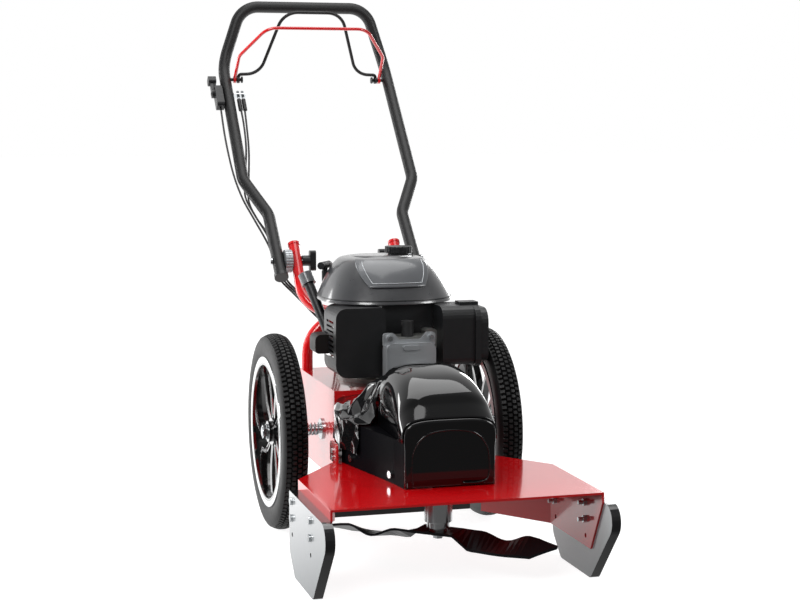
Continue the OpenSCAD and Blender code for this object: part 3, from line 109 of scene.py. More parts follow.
def add(tree, kind, **values):
    """Adds a shader node; values go to its inputs, or else to its own settings."""
    node = tree.nodes.new(kind)
    for key, value in values.items():
        name = key.replace("_", " ")
        socket = next((s for s in node.inputs if s.name.lower() == name.lower()), None)
        if socket is None:
            setattr(node, key, value)
        elif isinstance(value, bpy.types.NodeSocket):
            tree.links.new(value, socket)
        else:
            socket.default_value = value
    return node


def grain(tree, size):
    """Noise whose blobs are about size millimetres wide."""
    place = add(tree, "ShaderNodeTexCoord")
    noise = add(tree, "ShaderNodeTexNoise", vector=place.outputs["Object"], scale=500 / size, detail=3.0)
    return noise.outputs["Fac"]


def mix_colours(tree, factor, first, second):
    """Result of a mix of two colours, where each of the three is a socket or a value."""
    node = add(tree, "ShaderNodeMix", data_type="RGBA")
    for key, value in (("Factor_Float", factor), ("A_Color", first), ("B_Color", second)):
        socket = next(s for s in node.inputs if s.identifier == key)
        if isinstance(value, bpy.types.NodeSocket):
            tree.links.new(value, socket)
        else:
            socket.default_value = value
    return next(s for s in node.outputs if s.identifier == "Result_Color")


def shade(name, hexa, rough, metal=0.0, coat=0.0, size=2.0, bump=0.0, vary=0.08, wear=0.06, sheen=0.5):
    """Material with colour and gloss that vary a little, and a fine bump."""
    mat = bpy.data.materials.new(name)
    mat.use_nodes = True
    tree = mat.node_tree
    tree.nodes.clear()
    base = linear(hexa)[:3]
    dark, light = ([min(1, c * share) for c in base] + [1] for share in (1 - vary, 1 + vary))
    tint = mix_colours(tree, grain(tree, size * 20), dark, light)
    worn = grain(tree, size * 6)
    gloss = add(tree, "ShaderNodeMapRange", value=worn, to_min=max(0.02, rough - wear), to_max=rough + wear)
    shader = add(
        tree, "ShaderNodeBsdfPrincipled", base_color=tint, roughness=gloss.outputs["Result"], metallic=metal,
        specular_ior_level=sheen, coat_weight=coat, coat_roughness=0.06,
    )
    if bump:
        rise = add(tree, "ShaderNodeBump", height=grain(tree, size), strength=bump, distance=0.0004)
        tree.links.new(rise.outputs["Normal"], shader.inputs["Normal"])
    out = add(tree, "ShaderNodeOutputMaterial")
    tree.links.new(shader.outputs["BSDF"], out.inputs["Surface"])
    return mat


def skin(mat, hexa):
    """Paints the faces that look sideways pale grey: painted glare of the side light on a black plate."""
    tree = mat.node_tree
    shader = next(node for node in tree.nodes if node.type == "BSDF_PRINCIPLED")
    normal = add(tree, "ShaderNodeNewGeometry").outputs["Normal"]
    facing = add(tree, "ShaderNodeSeparateXYZ", vector=normal)
    flat = add(tree, "ShaderNodeMath", operation="ABSOLUTE")
    tree.links.new(facing.outputs["X"], flat.inputs[0])
    # Faces that look sideways get the painted glare of the side light
    wide = add(tree, "ShaderNodeMath", operation="GREATER_THAN")
    tree.links.new(flat.outputs["Value"], wide.inputs[0])
    wide.inputs[1].default_value = 0.9
    black_colour = shader.inputs["Base Color"].links[0].from_socket
    both = mix_colours(tree, wide.outputs["Value"], black_colour, linear(hexa))
    tree.links.new(both, shader.inputs["Base Color"])
    return mat


def materials(look):
    """Every material by the name that the pieces use."""
    red = "#%02x%02x%02x" % tuple(round(255 * c) for c in look.paint)
    # The skid plates are black; their pale second tone is painted glare, added in the skid entry below
    plate = shade("Black polyethylene plate with painted glare", "#101012", 0.2, coat=0.6, size=1.5, bump=0.02)
    return {
        # Powder coat on folded sheet steel
        "red": shade("Red powder coat on steel", red, 0.16, coat=0.7, size=1.2, bump=0.04),
        # Flat black coat of the belt tunnel
        "black": shade("Flat black powder coat on steel", "#08080a", 0.3, size=1.2, bump=0.05, sheen=0.01),
        # Cast wheels, lacquered over the paint
        "rim": shade("Gloss black lacquer on cast alloy", "#0a0a0b", 0.14, coat=1.0, size=1.5, bump=0.02),
        "bright": shade("Polished rim edge", "#e4e5e6", 0.14, metal=1.0, size=4, bump=0.02),
        # Thick black skid plates; the pale grey on their sideways faces is painted glare of the side light
        "skid": skin(plate, "#8f9294"),
        # Textured coat of the handlebar
        "tube": shade("Satin black coat on steel tube", "#050506", 0.5, size=0.8, bump=0.06, wear=0.02),
        # Moulded hood, polished
        "hood": shade("Gloss black ABS", "#050506", 0.06, coat=0.4, size=3, vary=0.02, wear=0.02, sheen=0.4),
        # Engine covers: fine spark texture on the small ones, satin on the fan cover and its panel
        "plastic": shade("Textured black nylon", "#0d0e10", 0.4, size=0.7, bump=0.25),
        "grey": shade("Grey moulded nylon", "#4b4d50", 0.3, coat=0.4, size=0.7, bump=0.02, sheen=0.7),
        "dome": shade("Satin black polypropylene", "#222326", 0.3, coat=0.7, size=0.9, bump=0.02, sheen=1.0),
        # Sand-cast and die-cast parts
        "cast": shade("Cast aluminium", "#a9a9a6", 0.45, metal=1.0, size=1.5, bump=0.35, vary=0.12),
        "alloy": shade("Die-cast alloy", "#aeb1b4", 0.36, metal=0.75, size=1.2, bump=0.15),
        # Steel: zinc-plated, turned, blackened and darkened by heat
        "steel": shade("Zinc-plated steel", "#c3c6c8", 0.24, metal=1.0, size=2.5, bump=0.06),
        "turned": shade("Turned bright steel", "#d2d3d4", 0.16, metal=1.0, size=4, bump=0.03),
        "blade": shade("Blackened spring steel", "#1b1c20", 0.3, metal=0.6, size=2, bump=0.1, vary=0.2),
        "heat": shade("Heat-darkened steel", "#1f1d1c", 0.45, metal=0.4, size=3, bump=0.1, vary=0.2),
        # Rubber, vinyl and cable sheath
        "tyre": shade("Tyre rubber", "#0b0b0c", 0.5, size=0.8, bump=0.3, sheen=0.3),
        "rubber": shade("Black rubber", "#111112", 0.5, size=0.8, bump=0.15),
        "vinyl": shade("Gloss black vinyl", "#0a0a0b", 0.1, coat=0.8, bump=0.08, vary=0.03, wear=0.04),
        "cable": shade("PVC cable sheath", "#121213", 0.36, size=0.8, bump=0.05),
    }


# CAD nodes by the material that they take
CAD_LOOK = {
    "red": "chassis_box deck_plate rear_arch handle_fork drive_bail",
    "black": "belt_tunnel",
    "rim": "rim_left rim_right",
    "skid": "skid_left skid_right",
    "tube": "handlebar stop_bail",
    "hood": "front_hood",
    "plastic": "muffler_guard air_cleaner_case air_cleaner_cover oil_tube throttle_housing throttle_lever "
    "clamp_knob_left clamp_knob_right fuel_cap starter_grip handlebar_caps",
    "dome": "fan_cover",
    "grey": "cover_panel oil_cap",
    "cast": "crankcase cylinder_block carburettor gearbox_housing flywheel",
    "alloy": "valve_cover fixed_ratchets moving_ratchets",
    "steel": "frame_bolts bearings engine_pulley spindle_pulley blade_bolt axle_shaft dog_springs "
    "dog_clutches drive_input pivot_bolts idler_arm crankshaft spindle_shaft",
    "turned": "spindle_housing",
    "heat": "muffler",
    "blade": "cutter_blade",
    "tyre": "tyre_left tyre_right",
    "rubber": "rear_flap spark_plug_cap cutter_belt drive_belt",
    "cable": "lower_cables upper_cables",
    "vinyl": "belt_apron",
}
# Nodes whose sharp edges catch light, with the width of the rounding in millimetres
SOFT_EDGES = {
    "deck_plate": 1.5, "chassis_box": 1.5, "skid_left": 2, "skid_right": 2, "rim_left": 2, "rim_right": 2,
    "valve_cover": 2, "air_cleaner_case": 3, "air_cleaner_cover": 4, "muffler": 3, "carburettor": 1.5,
    "cylinder_block": 0.8, "crankcase": 1.5, "fuel_cap": 1.2, "throttle_housing": 6, "throttle_lever": 4,
    "clamp_knob_left": 2.5, "clamp_knob_right": 2.5,
}
MATS = {}

# Geometry helpers


def piece(name, verts, faces, look, body, slot, stands_for=()):
    """A mesh piece that rides a body, from vertices in millimetres."""
    mesh = bpy.data.meshes.new(name)
    mesh.from_pydata([at(*v) for v in verts], [], faces)
    mesh.materials.append(MATS[look])
    mesh.polygons.foreach_set("use_smooth", [True] * len(mesh.polygons))
    mesh.update()
    obj = bpy.data.objects.new(name, mesh)
    bpy.context.scene.collection.objects.link(obj)
    if body:
        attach(obj, body)
    if stands_for:
        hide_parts(*stands_for)
    return obj


def sharp(obj, degrees=35):
    """Edges steeper than the angle stay crisp."""
    obj.data.set_sharp_from_angle(angle=math.radians(degrees))
    return obj


def round_edges(obj, width):
    """Bevels the steep edges."""
    mod = obj.modifiers.new("Rounded edges", "BEVEL")
    mod.width = width / 1000
    mod.segments = 2
    mod.limit_method = "ANGLE"
    mod.angle_limit = math.radians(50)
    mod.use_clamp_overlap = True


def wall(obj, thickness):
    """Gives a skin its wall, inwards."""
    mod = obj.modifiers.new("Wall", "SOLIDIFY")
    mod.thickness = thickness / 1000
    mod.offset = -1


def bend(points, radii, steps):
    """Path whose inner corners are rounded to the radii given."""
    p = [Vector(q) for q in points]
    path = [p[0]]
    for a, b, c, r in zip(p, p[1:], p[2:], radii):
        u, v = (b - a).normalized(), (c - b).normalized()
        turn = u.angle(v)
        side = u.cross(v).normalized().cross(u)
        centre = b - u * r * math.tan(turn / 2) + side * r
        for k in range(steps + 1):
            angle = turn * k / steps
            path.append(centre + r * (u * math.sin(angle) - side * math.cos(angle)))
    return path + [p[-1]]


def through(p, q, r, s, t):
    """Value at share t of the smooth curve from q to r, whose outer neighbours are p and s."""
    return 0.5 * (2 * q + (r - p) * t + (2 * p - 5 * q + 4 * r - s) * t**2 + (3 * q - p - 3 * r + s) * t**3)


def between(rows, steps):
    """Rows of numbers with smooth steps between them."""
    fine = []
    for i in range(len(rows) - 1):
        near = [rows[min(max(i + k, 0), len(rows) - 1)] for k in (-1, 0, 1, 2)]
        for k in range(steps):
            fine.append([through(*values, k / steps) for values in zip(*near)])
    return fine + [rows[-1]]


def smooth_path(points, steps=6):
    """Curve through the points."""
    return [Vector(p) for p in between(points, steps)]


def tube(path, radius, sides=16):
    """Vertices and faces of a round rod along a path."""
    verts, faces = [], []
    side = None
    for i, p in enumerate(path):
        t = (path[min(i + 1, len(path) - 1)] - path[max(i - 1, 0)]).normalized()
        start = side or (Vector((0, -0.7, 0.7)) if abs(t.y - t.z) < 1.2 else Vector((1, 0, 0)))
        side = (start - t * start.dot(t)).normalized()
        other = t.cross(side)
        for k in range(sides):
            a = 2 * math.pi * k / sides
            verts.append(p + radius * (side * math.cos(a) + other * math.sin(a)))
    for i in range(len(path) - 1):
        for k in range(sides):
            a, b = i * sides + k, i * sides + (k + 1) % sides
            faces.append((a, b, b + sides, a + sides))
    last = (len(path) - 1) * sides
    return verts, faces + [tuple(range(sides))[::-1], tuple(range(last, last + sides))]


def join(*shapes):
    """One set of vertices and faces from several."""
    verts, faces = [], []
    for v, f in shapes:
        n = len(verts)
        verts += list(v)
        faces += [tuple(i + n for i in face) for face in f]
    return verts, faces


def grid(rows, around=False):
    """Vertices and faces over rows of points, closed round each row if asked."""
    n = len(rows[0])
    faces = []
    for i in range(len(rows) - 1):
        for j in range(n if around else n - 1):
            a, b = i * n + j, i * n + (j + 1) % n
            faces.append((a, b, b + n, a + n))
    return [p for row in rows for p in row], faces


def block(low, high):
    """Vertices and faces of a box between two corners."""
    v = [(x, y, z) for x in (low[0], high[0]) for y in (low[1], high[1]) for z in (low[2], high[2])]
    return v, [(0, 1, 3, 2), (4, 6, 7, 5), (0, 4, 5, 1), (2, 3, 7, 6), (0, 2, 6, 4), (1, 5, 7, 3)]


def power(value, exponent):
    """Signed power, for rounded-box outlines."""
    return math.copysign(abs(value) ** exponent, value)


# Handlebar


def make_handlebar():
    """Bent tube with the two studs that carry the bails."""
    tail_length, leg_length, s_step, loop_rise, loop_x = 40, 145, (71, 78), 144, 158
    tail = [PIVOT[i] - tail_length * LOW_DIR[i] for i in (0, 1)]
    s_low = [PIVOT[i] + leg_length * LOW_DIR[i] for i in (0, 1)]
    s_high = [s_low[i] + s_step[i] for i in (0, 1)]
    top = (GRIP_BEND[0], GRIP_BEND[1] + loop_rise)
    half = [(-BAR_X, *tail), (-BAR_X, *s_low), (-GRIP_X, *s_high), (-GRIP_X, *GRIP_BEND), (-loop_x, *top)]
    path = half + [(-x, y, z) for x, y, z in half[::-1]]
    shapes = [tube(bend(path, [60, 60, 90, 58, 58, 90, 60, 60], 12), BAR_R, 24)]
    for side in (-1, 1):
        shapes.append(tube([Vector((side * x, *BAIL)) for x in (194, 166)], 4, 16))
        shapes.append(tube([Vector((side * x, *BAIL)) for x in (166.4, 163)], 8, 20))
    sharp(piece("handlebar_tube", *join(*shapes), "tube", "handle", "black_paint", ["handlebar"]))


def on_bracket(x, along, off):
    """A point on the cable bracket: across from the leg's outer side, along the grip and off it."""
    y = BRACKET[0] + along * GRIP_DIR[0] + off * GRIP_DIR[1]
    z = BRACKET[1] + along * GRIP_DIR[1] - off * GRIP_DIR[0]
    return Vector((x - GRIP_X - BAR_R, y, z))


def make_cable_bracket():
    """Plate on one leg with two cable adjusters, each with a rubber boot below it."""
    adjuster_x = (39, 50)
    corners, faces = block((27, 0, -8), (57, 3, 8))
    parts = [([on_bracket(*v) for v in corners], faces)]
    for x in adjuster_x:
        parts.append(tube([on_bracket(x, s, 0) for s in (-14, 16)], 2.6, 14))
        for nut in ((-5, -1), (4, 8), (10, 15)):
            parts.append(tube([on_bracket(x, s, 0) for s in nut], 4, 6))
    sharp(piece("cable_adjusters", *join(*parts), "steel", "handle", "steel"))
    boots = [tube([on_bracket(x, s, 0) for s in (-12, -16, -40, -46)], 5.2) for x in adjuster_x]
    sharp(piece("cable_boots", *join(*boots), "rubber", "handle", "soft_black"))


def make_bail(name, lean_deg, eye, inner, bends, look, slot):
    """Wire bail between two eyes on the studs, from half of its outline and half of its bends."""
    lean = math.radians(lean_deg)
    half = [(eye, 0)] + inner
    flat = [(-x, z) for x, z in half] + half[::-1]
    path = [(x, BAIL[0] - math.sin(lean) * z, BAIL[1] + math.cos(lean) * z) for x, z in flat]
    wires = [tube(bend(path, bends + bends[::-1], 10), 3.9, 14)]
    for side in (-1, 1):
        wires.append(tube([Vector((side * (eye + d), *BAIL)) for d in (-3, 3)], 8.4, 20))
    sharp(piece(name + "_wire", *join(*wires), look, name, slot, [name]))


# Hood


def hood_point(row, k):
    """A point on the hood's skin, at step k of its arc."""
    a = math.pi * k / HOOD_ARC
    x = HOOD_HALF * row[2] * power(math.cos(a), 0.52)
    z = TUNNEL_TOP + (HOOD_H * row[1] - TUNNEL_H) * abs(math.sin(a)) ** 0.48
    return x, HOOD_FRONT + row[0] * HOOD_LENGTH, z


def hood_roof(fine, x, share):
    """Height of the hood's skin at a place."""
    i = max(k for k, row in enumerate(fine[:-1]) if row[0] <= share)
    t = (share - fine[i][0]) / (fine[i + 1][0] - fine[i][0])
    row = [p + (q - p) * t for p, q in zip(fine[i], fine[i + 1])]
    part = min(0.999, abs(x) / (HOOD_HALF * row[2])) ** (1 / 0.52)
    return TUNNEL_TOP + (HOOD_H * row[1] - TUNNEL_H) * (1 - part**2) ** 0.24


def make_hood_shell(fine):
    """Arched skin of the hood behind its face."""
    shell = grid([[hood_point(row, k) for k in range(HOOD_ARC + 1)] for row in fine])
    obj = piece("hood_shell", *shell, "hood", "chassis", "black_hood", ["front_hood"])
    wall(obj, 3)
    sharp(obj, 60)


def make_hood_face(fine):
    """Flat face with a rounded rim, from the deck up to the shell."""
    foot, middle, half = DECK_TOP + 0.2, 230, 88.2
    steps = [foot + TUNNEL_H * k / 6 for k in range(6)]
    arch = [hood_point(fine[0], k) for k in range(HOOD_ARC + 1)]
    rim = [(half, z) for z in steps] + [(x, z) for x, y, z in arch] + [(-half, z) for z in steps[::-1]]
    rows = []
    for inset, back in ((0, fine[0][0] * HOOD_LENGTH), (0.5, 2.4), (1.8, 0.9), (4, 0.1), (5.5, 0)):
        row = []
        for x, z in rim:
            share = 1 - inset / math.hypot(x, z - middle)
            row.append((x * share, HOOD_FRONT + back, max(foot, middle + (z - middle) * share)))
        rows.append(row)
    verts, faces = grid(rows)
    faces.append(tuple(range(4 * len(rim), 5 * len(rim)))[::-1])
    wall(sharp(piece("hood_face", verts, faces, "hood", "chassis", "black_hood"), 60), 2)


def make_hood_lines(fine):
    """Arched rib on the face, open at its foot, and an oval step on the slope above it."""
    rib = [
        (-73, 184), (-76, 222), (-70, 254), (-46, 278), (0, 285), (46, 278), (70, 254), (76, 222), (73, 192),
        (58, 184), (24, 184),
    ]
    path = smooth_path([(x, HOOD_FRONT - 0.2, z) for x, z in rib])
    piece("hood_rib", *tube(path, 1.7, 8), "hood", "chassis", "black_hood")
    oval, steps = [], 72
    oval_x, oval_half, oval_share, oval_reach = 5, 44, 0.17, 0.12
    for k in range(steps):
        a = 2 * math.pi * k / steps
        x = oval_x + oval_half * power(math.cos(a), 0.85)
        share = oval_share + oval_reach * power(math.sin(a), 0.9)
        oval.append(Vector((x, HOOD_FRONT + share * HOOD_LENGTH, hood_roof(fine, x, share) - 0.5)))
    piece("hood_oval_step", *tube(oval + oval[:2], 1.9, 8), "hood", "chassis", "black_hood")


# Engine covers


def cover_point(row, a, out=0.0, up=0.0):
    """Point on the fan cover at an angle, in millimetres from the axle."""
    x = ENGINE[0] + (COVER_RX * row[1] + out) * power(math.cos(a), 0.8)
    middle = ENGINE[1] + COVER_BACK + COVER_LEAN * row[0]
    y = middle + (COVER_RY * row[2] + out) * power(math.sin(a), 0.8)
    return x, y, COVER_FOOT + COVER_H * row[0] + up


def cover_ring(row, out=0.0, up=0.0):
    """Points round the whole fan cover."""
    return [cover_point(row, 2 * math.pi * k / COVER_ARC, out, up) for k in range(COVER_ARC)]


def front_point(row, share, out, up):
    """Point on the front of the fan cover, at a share of the half angle that the row ends with."""
    return cover_point(row, math.radians(270 + row[3] * share), out, up)


def make_fan_cover():
    """Domed skin, and with it the duct below, the filler neck and the rope eyelet."""
    rows = [cover_ring(row) for row in between(COVER_ROWS, 5)]
    top = (rows[-1], [tuple(range(COVER_ARC))])
    dome = join(grid(rows, around=True), top)
    obj = sharp(piece("fan_cover_skin", *dome, "dome", "chassis", "black_plastic", ["fan_cover"]), 50)
    wall(obj, 3)
    neck = tube([Vector((72, 120, z)) for z in (540, 564)], 23, 32)
    eyelet = tube([Vector((-92, 127, z)) for z in (490, 528)], 7, 20)
    base = [(-15, 410.02), (69, 410.02), (69, 422), (95, 422), (95, 474), (-15, 474)]
    verts, faces = grid([[(x, y, z) for x, z in base] for y in (-63, -29)], around=True)
    duct = (verts, faces + [tuple(range(6))[::-1], tuple(range(6, 12))])
    floor = grid([cover_ring([0, s, s], 0, 0.2) for s in (0.99, 0.55)], around=True)
    sharp(piece("fan_cover_duct", *join(neck, eyelet, duct, floor), "plastic", "chassis", "black_plastic"))


def make_cover_panel():
    """Grey panel on the front of the fan cover, with a bright line inside its edge."""
    part = between([COVER_ROWS[i] + [half] for i, half in ((2, 22), (3, 36), (4, 46), (5, 52))], 6)
    rows = [[front_point(row, k / 16, 2.8, 2.4) for k in range(-16, 17)] for row in part]
    panel = piece("cover_panel_skin", *grid(rows), "grey", "chassis", "grey_plastic", ["cover_panel"])
    wall(sharp(panel, 50), 2.2)
    inset, out, up = 0.76, 3.2, 2.7
    inner = [row for row in part if 0.44 < row[0] < 0.93]
    edge = [front_point(inner[0], inset * k / 8, out, up) for k in range(-8, 9)]
    side = [front_point(row, inset, out, up) for row in inner[1:]]
    other = [front_point(row, -inset, out, up) for row in inner[:0:-1]]
    line = [Vector(p) for p in other + edge + side]
    piece("cover_panel_line", *tube(line, 0.9, 8), "alloy", "chassis", "cast_alloy")


def make_cover_seam():
    """Raised seam round the foot of the fan cover."""
    seam = [cover_ring(COVER_ROWS[1], out, up) for out, up in ((0.2, -1.6), (1.4, 0), (0.2, 1.6))]
    piece("fan_cover_seam", *grid(seam, around=True), "plastic", "chassis", "black_plastic")


def make_valve_cover():
    """Two bolt heads and the raised face of the valve cover."""
    heads = [tube([Vector((x, -144 - d, 412)) for d in (0, 4)], 5.5, 6) for x in (-20, 68)]
    sharp(piece("valve_cover_bolts", *join(*heads), "steel", "chassis", "steel"))
    face = [(-22, 328), (69, 328), (69, 396), (46, 396), (41, 385), (5, 385), (0, 396), (-22, 396)]
    verts, faces = grid([[(x, y, z) for x, z in face] for y in (-152.4, -149)], around=True)
    faces.append(tuple(range(8)))
    round_edges(sharp(piece("valve_cover_plate", verts, faces, "alloy", "chassis", "cast_alloy"), 30), 1)


# Wheels


def make_tyre(name, side, depth, blocks):
    """Tyre with rows of tread blocks between grooves round it and cuts across it."""
    wall_line = [(148.1, -21.9), (157, -21.9), (162, -24), (169, -26), (186, -26), (195, -23.5), (199, -20.5)]
    crown_half, fall, groove_half = 18, 5.2, 0.9
    crown = [crown_half * (k / 12 - 1) for k in range(25)]
    lanes = [-10.5, 0.0, 10.5]
    steps = blocks * 4
    rows = []
    for i in range(steps):
        a = 2 * math.pi * i / steps
        ring = list(wall_line)
        for x in crown:
            r = AXLE_Z - fall * (abs(x) / crown_half) ** 2.4
            lane = sum(x > edge for edge in lanes)
            cut = min(abs(x - edge) for edge in lanes) < groove_half or (i + 2 * lane) % 4 == 0
            ring.append((r - (depth if cut else 0), x))
        ring += [(r, -x) for r, x in wall_line[::-1]]
        rows.append([(side * (TRACK_HALF + x), r * math.cos(a), AXLE_Z + r * math.sin(a)) for r, x in ring])
    rows.append(rows[0])
    obj = piece("tyre_tread_" + name, *grid(rows), "tyre", "wheel_" + name, "tyre_rubber", ["tyre_" + name])
    sharp(obj, 30)


def wheel_circle(side, x, r):
    """Points round a wheel."""
    turns = [2 * math.pi * k / 128 for k in range(128)]
    return [(side * (TRACK_HALF + x), r * math.cos(a), AXLE_Z + r * math.sin(a)) for a in turns]


def make_rim_edge(name, side):
    """Polished flanges of a rim, and the polished edges of its five split spokes."""
    flange = ((141, 0.2), (146, 2.6), (156.8, 2.6), (157.4, 0))
    hub, reach, split, bow, edge_x, steps = 23, 123, 8, 20, 6.8, 14
    shapes = [grid([wheel_circle(side, x + d, r) for r, d in flange], around=True) for x in (22.6, -22.6)]
    for k in range(5):
        c, s = math.cos(2 * math.pi * k / 5), math.sin(2 * math.pi * k / 5)
        for hand, off in ((-1, -4.5), (-1, 4.5), (1, -4.5), (1, 4.5)):
            line = []
            for j in range(1, steps):
                p = hub + reach * j / steps
                q = hand * (split + bow * math.sin(math.radians(150 * j / steps))) + off
                line.append(Vector((side * (TRACK_HALF + edge_x), p * s + q * c, AXLE_Z - p * c + q * s)))
            shapes.append(tube(line, 1.3, 6))
    sharp(piece("rim_edge_" + name, *join(*shapes), "bright", "wheel_" + name, "steel"), 40)


# Apron


def flank(y):
    """Half width of the belt tunnel at a place along it."""
    (y0, x0), (y1, x1), (y2, x2) = FLANK
    if y > y1:
        return x0 + (x1 - x0) * (y0 - y) / (y0 - y1)
    return x1 + (x2 - x1) * (y1 - y) / (y1 - y2)


def fold(t):
    """Ridged wave between 0 and 1."""
    return abs((t % 2) - 1)


def folds(s, v):
    """Height of the creases, as a share of the deepest, from three crossing waves."""
    a = fold(2.3 * s + 3.1 * v + 0.5 * math.sin(5 * v))
    b = fold(3.7 * s - 2.6 * v + 0.4 * math.sin(6 * s + 2))
    c = fold(6.1 * s + 7.3 * v + 0.6 * math.sin(4 * s - 3 * v))
    return 0.62 * a * b + 0.3 * b + 0.16 * c


def make_apron(crease):
    """Vinyl sheet over the tunnel, from the chassis to the hood, that hangs down on both sides."""
    rows_n, cols = ((90, 150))
    # Half outlines over the tunnel at the chassis and at the hood, as share of the width and height
    back = [(1, 0), (0.99, 12), (0.97, 19), (0.86, 23), (0.62, 24), (0.3, 25), (0, 25)]
    fore = [(1, 0), (0.82, 3), (0.74, 14), (0.7, 44), (0.61, 82), (0.4, 100), (0, 105)]
    start, length, hang_low, hang = -112.2, 185.6, DECK_TOP + 30, 0.14
    rows = []
    for i in range(rows_n + 1):
        s = i / rows_n
        y = start - s * length
        x, ease = flank(y), s * s * (3 - 2 * s)
        row = []
        for k in range(cols + 1):
            v = k / cols
            lift = 1.4 + crease * folds(s, v * 2.2)
            side, w = (-1, v) if v < 0.5 else (1, 1 - v)
            if w < hang:
                row.append((side * (x + lift), y, hang_low + (TUNNEL_TOP - hang_low + lift) * w / hang))
                continue
            t = (w - hang) / (0.5 - hang) * 6
            j = min(5, int(t))
            wide, high = ((1 - ease) * (p + (q - p) * (t - j)) + ease * (m + (n - m) * (t - j))
                          for p, q, m, n in zip(back[j], back[j + 1], fore[j], fore[j + 1]))
            row.append((side * (x + lift) * wide, y, TUNNEL_TOP + lift + high))
        rows.append(row)
    obj = piece("apron_vinyl", *grid(rows), "vinyl", "chassis", "soft_black", ["belt_apron"])


# Cables


def cable_start(x, drop):
    """Where a cable leaves the handle, at a drop below the bracket."""
    return (x, BRACKET[0] - drop * GRIP_DIR[0], BRACKET[1] - drop * GRIP_DIR[1])


def make_cables():
    """Throttle, stop and drive cable, each in one run from the handle to the chassis."""
    upper = [
        [cable_start(-228.9, 38.4), (-231, 560, 806), (-226, 490, 728), (-214, 440, 672), (-196, 402, 628),
         (-178, 372, 588), (-167, 350, 558), (-166, 322, 531)],
        [cable_start(-180.9, 14.4), (-181, 590, 842), (-185, 540, 782), (-196, 500, 714), (-203, 458, 672),
         (-189, 420, 633), (-169, 385, 592), (-160, 353, 560), (-160, 325, 534)],
        [cable_start(-169.9, 14.4), (-173, 596, 840), (-177, 548, 778), (-186, 506, 706), (-194, 464, 662),
         (-182, 428, 624), (-162, 392, 588), (-154, 356, 557), (-154, 328, 531)],
    ]
    lower = [(-158, 310, 508), (-150, 303, 488), (-126, 290, 462), (-98, 264, 430), (-66, 240, 392),
             (-52, 224, 350), (-50, 206, 304)]
    pitch, radius = 7, 2.4
    runs = []
    for k, points in enumerate(upper):
        runs.append(tube(smooth_path(points + [(x + pitch * k, y, z) for x, y, z in lower]), radius, 12))
    nodes = ["upper_cables", "lower_cables"]
    obj = piece("control_cables", *join(*runs), "cable", None, "soft_black", nodes)
    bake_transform(obj)


# Studio


def seen_or_mirrored(tree, seen, mirrored):
    """Shader that the camera sees as one thing and the machine mirrors as another."""
    path = add(tree, "ShaderNodeLightPath")
    both = add(tree, "ShaderNodeMixShader", fac=path.outputs["Is Camera Ray"])
    tree.links.new(mirrored.outputs[0], both.inputs[1])
    tree.links.new(seen.outputs[0], both.inputs[2])
    return both.outputs[0]


def depth_glow(tree, space, near, far, low, high):
    """Brightness that rises from front to back."""
    place = add(tree, "ShaderNodeTexCoord")
    split = add(tree, "ShaderNodeSeparateXYZ", vector=place.outputs[space])
    glow = add(
        tree, "ShaderNodeMapRange", value=split.outputs["Y"],
        from_min=near, from_max=far, to_min=low, to_max=high,
    )
    return glow.outputs["Result"]


def make_world(scene):
    """Backdrop, bright behind the machine and dim in front of it."""
    world = bpy.data.worlds.new("Studio")
    scene.world = world
    world.use_nodes = True
    tree = world.node_tree
    tree.nodes.clear()
    glow = depth_glow(tree, "Generated", -0.3, 0.9, 0.2, 0.95)
    soft = add(tree, "ShaderNodeBackground", color=(1, 1, 1, 1), strength=glow)
    white = add(tree, "ShaderNodeBackground", color=(1, 1, 1, 1), strength=1.0)
    out = add(tree, "ShaderNodeOutputWorld")
    tree.links.new(seen_or_mirrored(tree, white, soft), out.inputs["Surface"])


def make_floor(scene):
    """Floor, nearly white where it is seen; the machine mirrors it bright behind and dim in front."""
    half = 30
    corners = [(-half, -half, 0), (half, -half, 0), (half, half, 0), (-half, half, 0)]
    mesh = bpy.data.meshes.new("floor")
    mesh.from_pydata(corners, [], [(0, 1, 2, 3)])
    floor = bpy.data.objects.new("floor", mesh)
    scene.collection.objects.link(floor)
    mat = bpy.data.materials.new("White studio floor")
    mat.use_nodes = True
    tree = mat.node_tree
    tree.nodes.clear()
    matte = add(tree, "ShaderNodeBsdfDiffuse", color=(0.3, 0.3, 0.3, 1))
    glow = add(tree, "ShaderNodeEmission", color=(1, 1, 1, 1), strength=0.9)
    lit = add(tree, "ShaderNodeAddShader")
    tree.links.new(matte.outputs[0], lit.inputs[0])
    tree.links.new(glow.outputs[0], lit.inputs[1])
    depth = depth_glow(tree, "Object", -0.75, 0.35, 0.12, 1.6)
    dim = add(tree, "ShaderNodeEmission", color=(1, 1, 1, 1), strength=depth)
    out = add(tree, "ShaderNodeOutputMaterial")
    tree.links.new(seen_or_mirrored(tree, lit, dim), out.inputs["Surface"])
    mesh.materials.append(mat)


def make_light(scene, name, place, aim, size, watts, shine):
    """Area light; shine is how much of it shows in gloss parts."""
    lamp = bpy.data.lights.new(name, "AREA")
    lamp.shape = "RECTANGLE"
    lamp.size, lamp.size_y = size
    lamp.energy = watts
    lamp.specular_factor = shine
    obj = bpy.data.objects.new(name, lamp)
    obj.visible_camera = False
    obj.visible_glossy = shine > 0
    obj.location = place
    obj.rotation_euler = (Vector(aim) - Vector(place)).to_track_quat("-Z", "Y").to_euler()
    scene.collection.objects.link(obj)


def make_camera(scene):
    """Camera of the photo."""
    cam = bpy.data.cameras.new("photo_camera")
    cam.lens, cam.sensor_width = 76.0, 36.0
    camera = bpy.data.objects.new("photo_camera", cam)
    turn = Matrix.Rotation(math.radians(-15.81), 4, "Z") @ Matrix.Rotation(math.radians(90 - 6.33), 4, "X")
    camera.matrix_world = Matrix.Translation(at(-930, -3431, 869)) @ turn
    scene.collection.objects.link(camera)
    scene.camera = camera


# Settings and operators


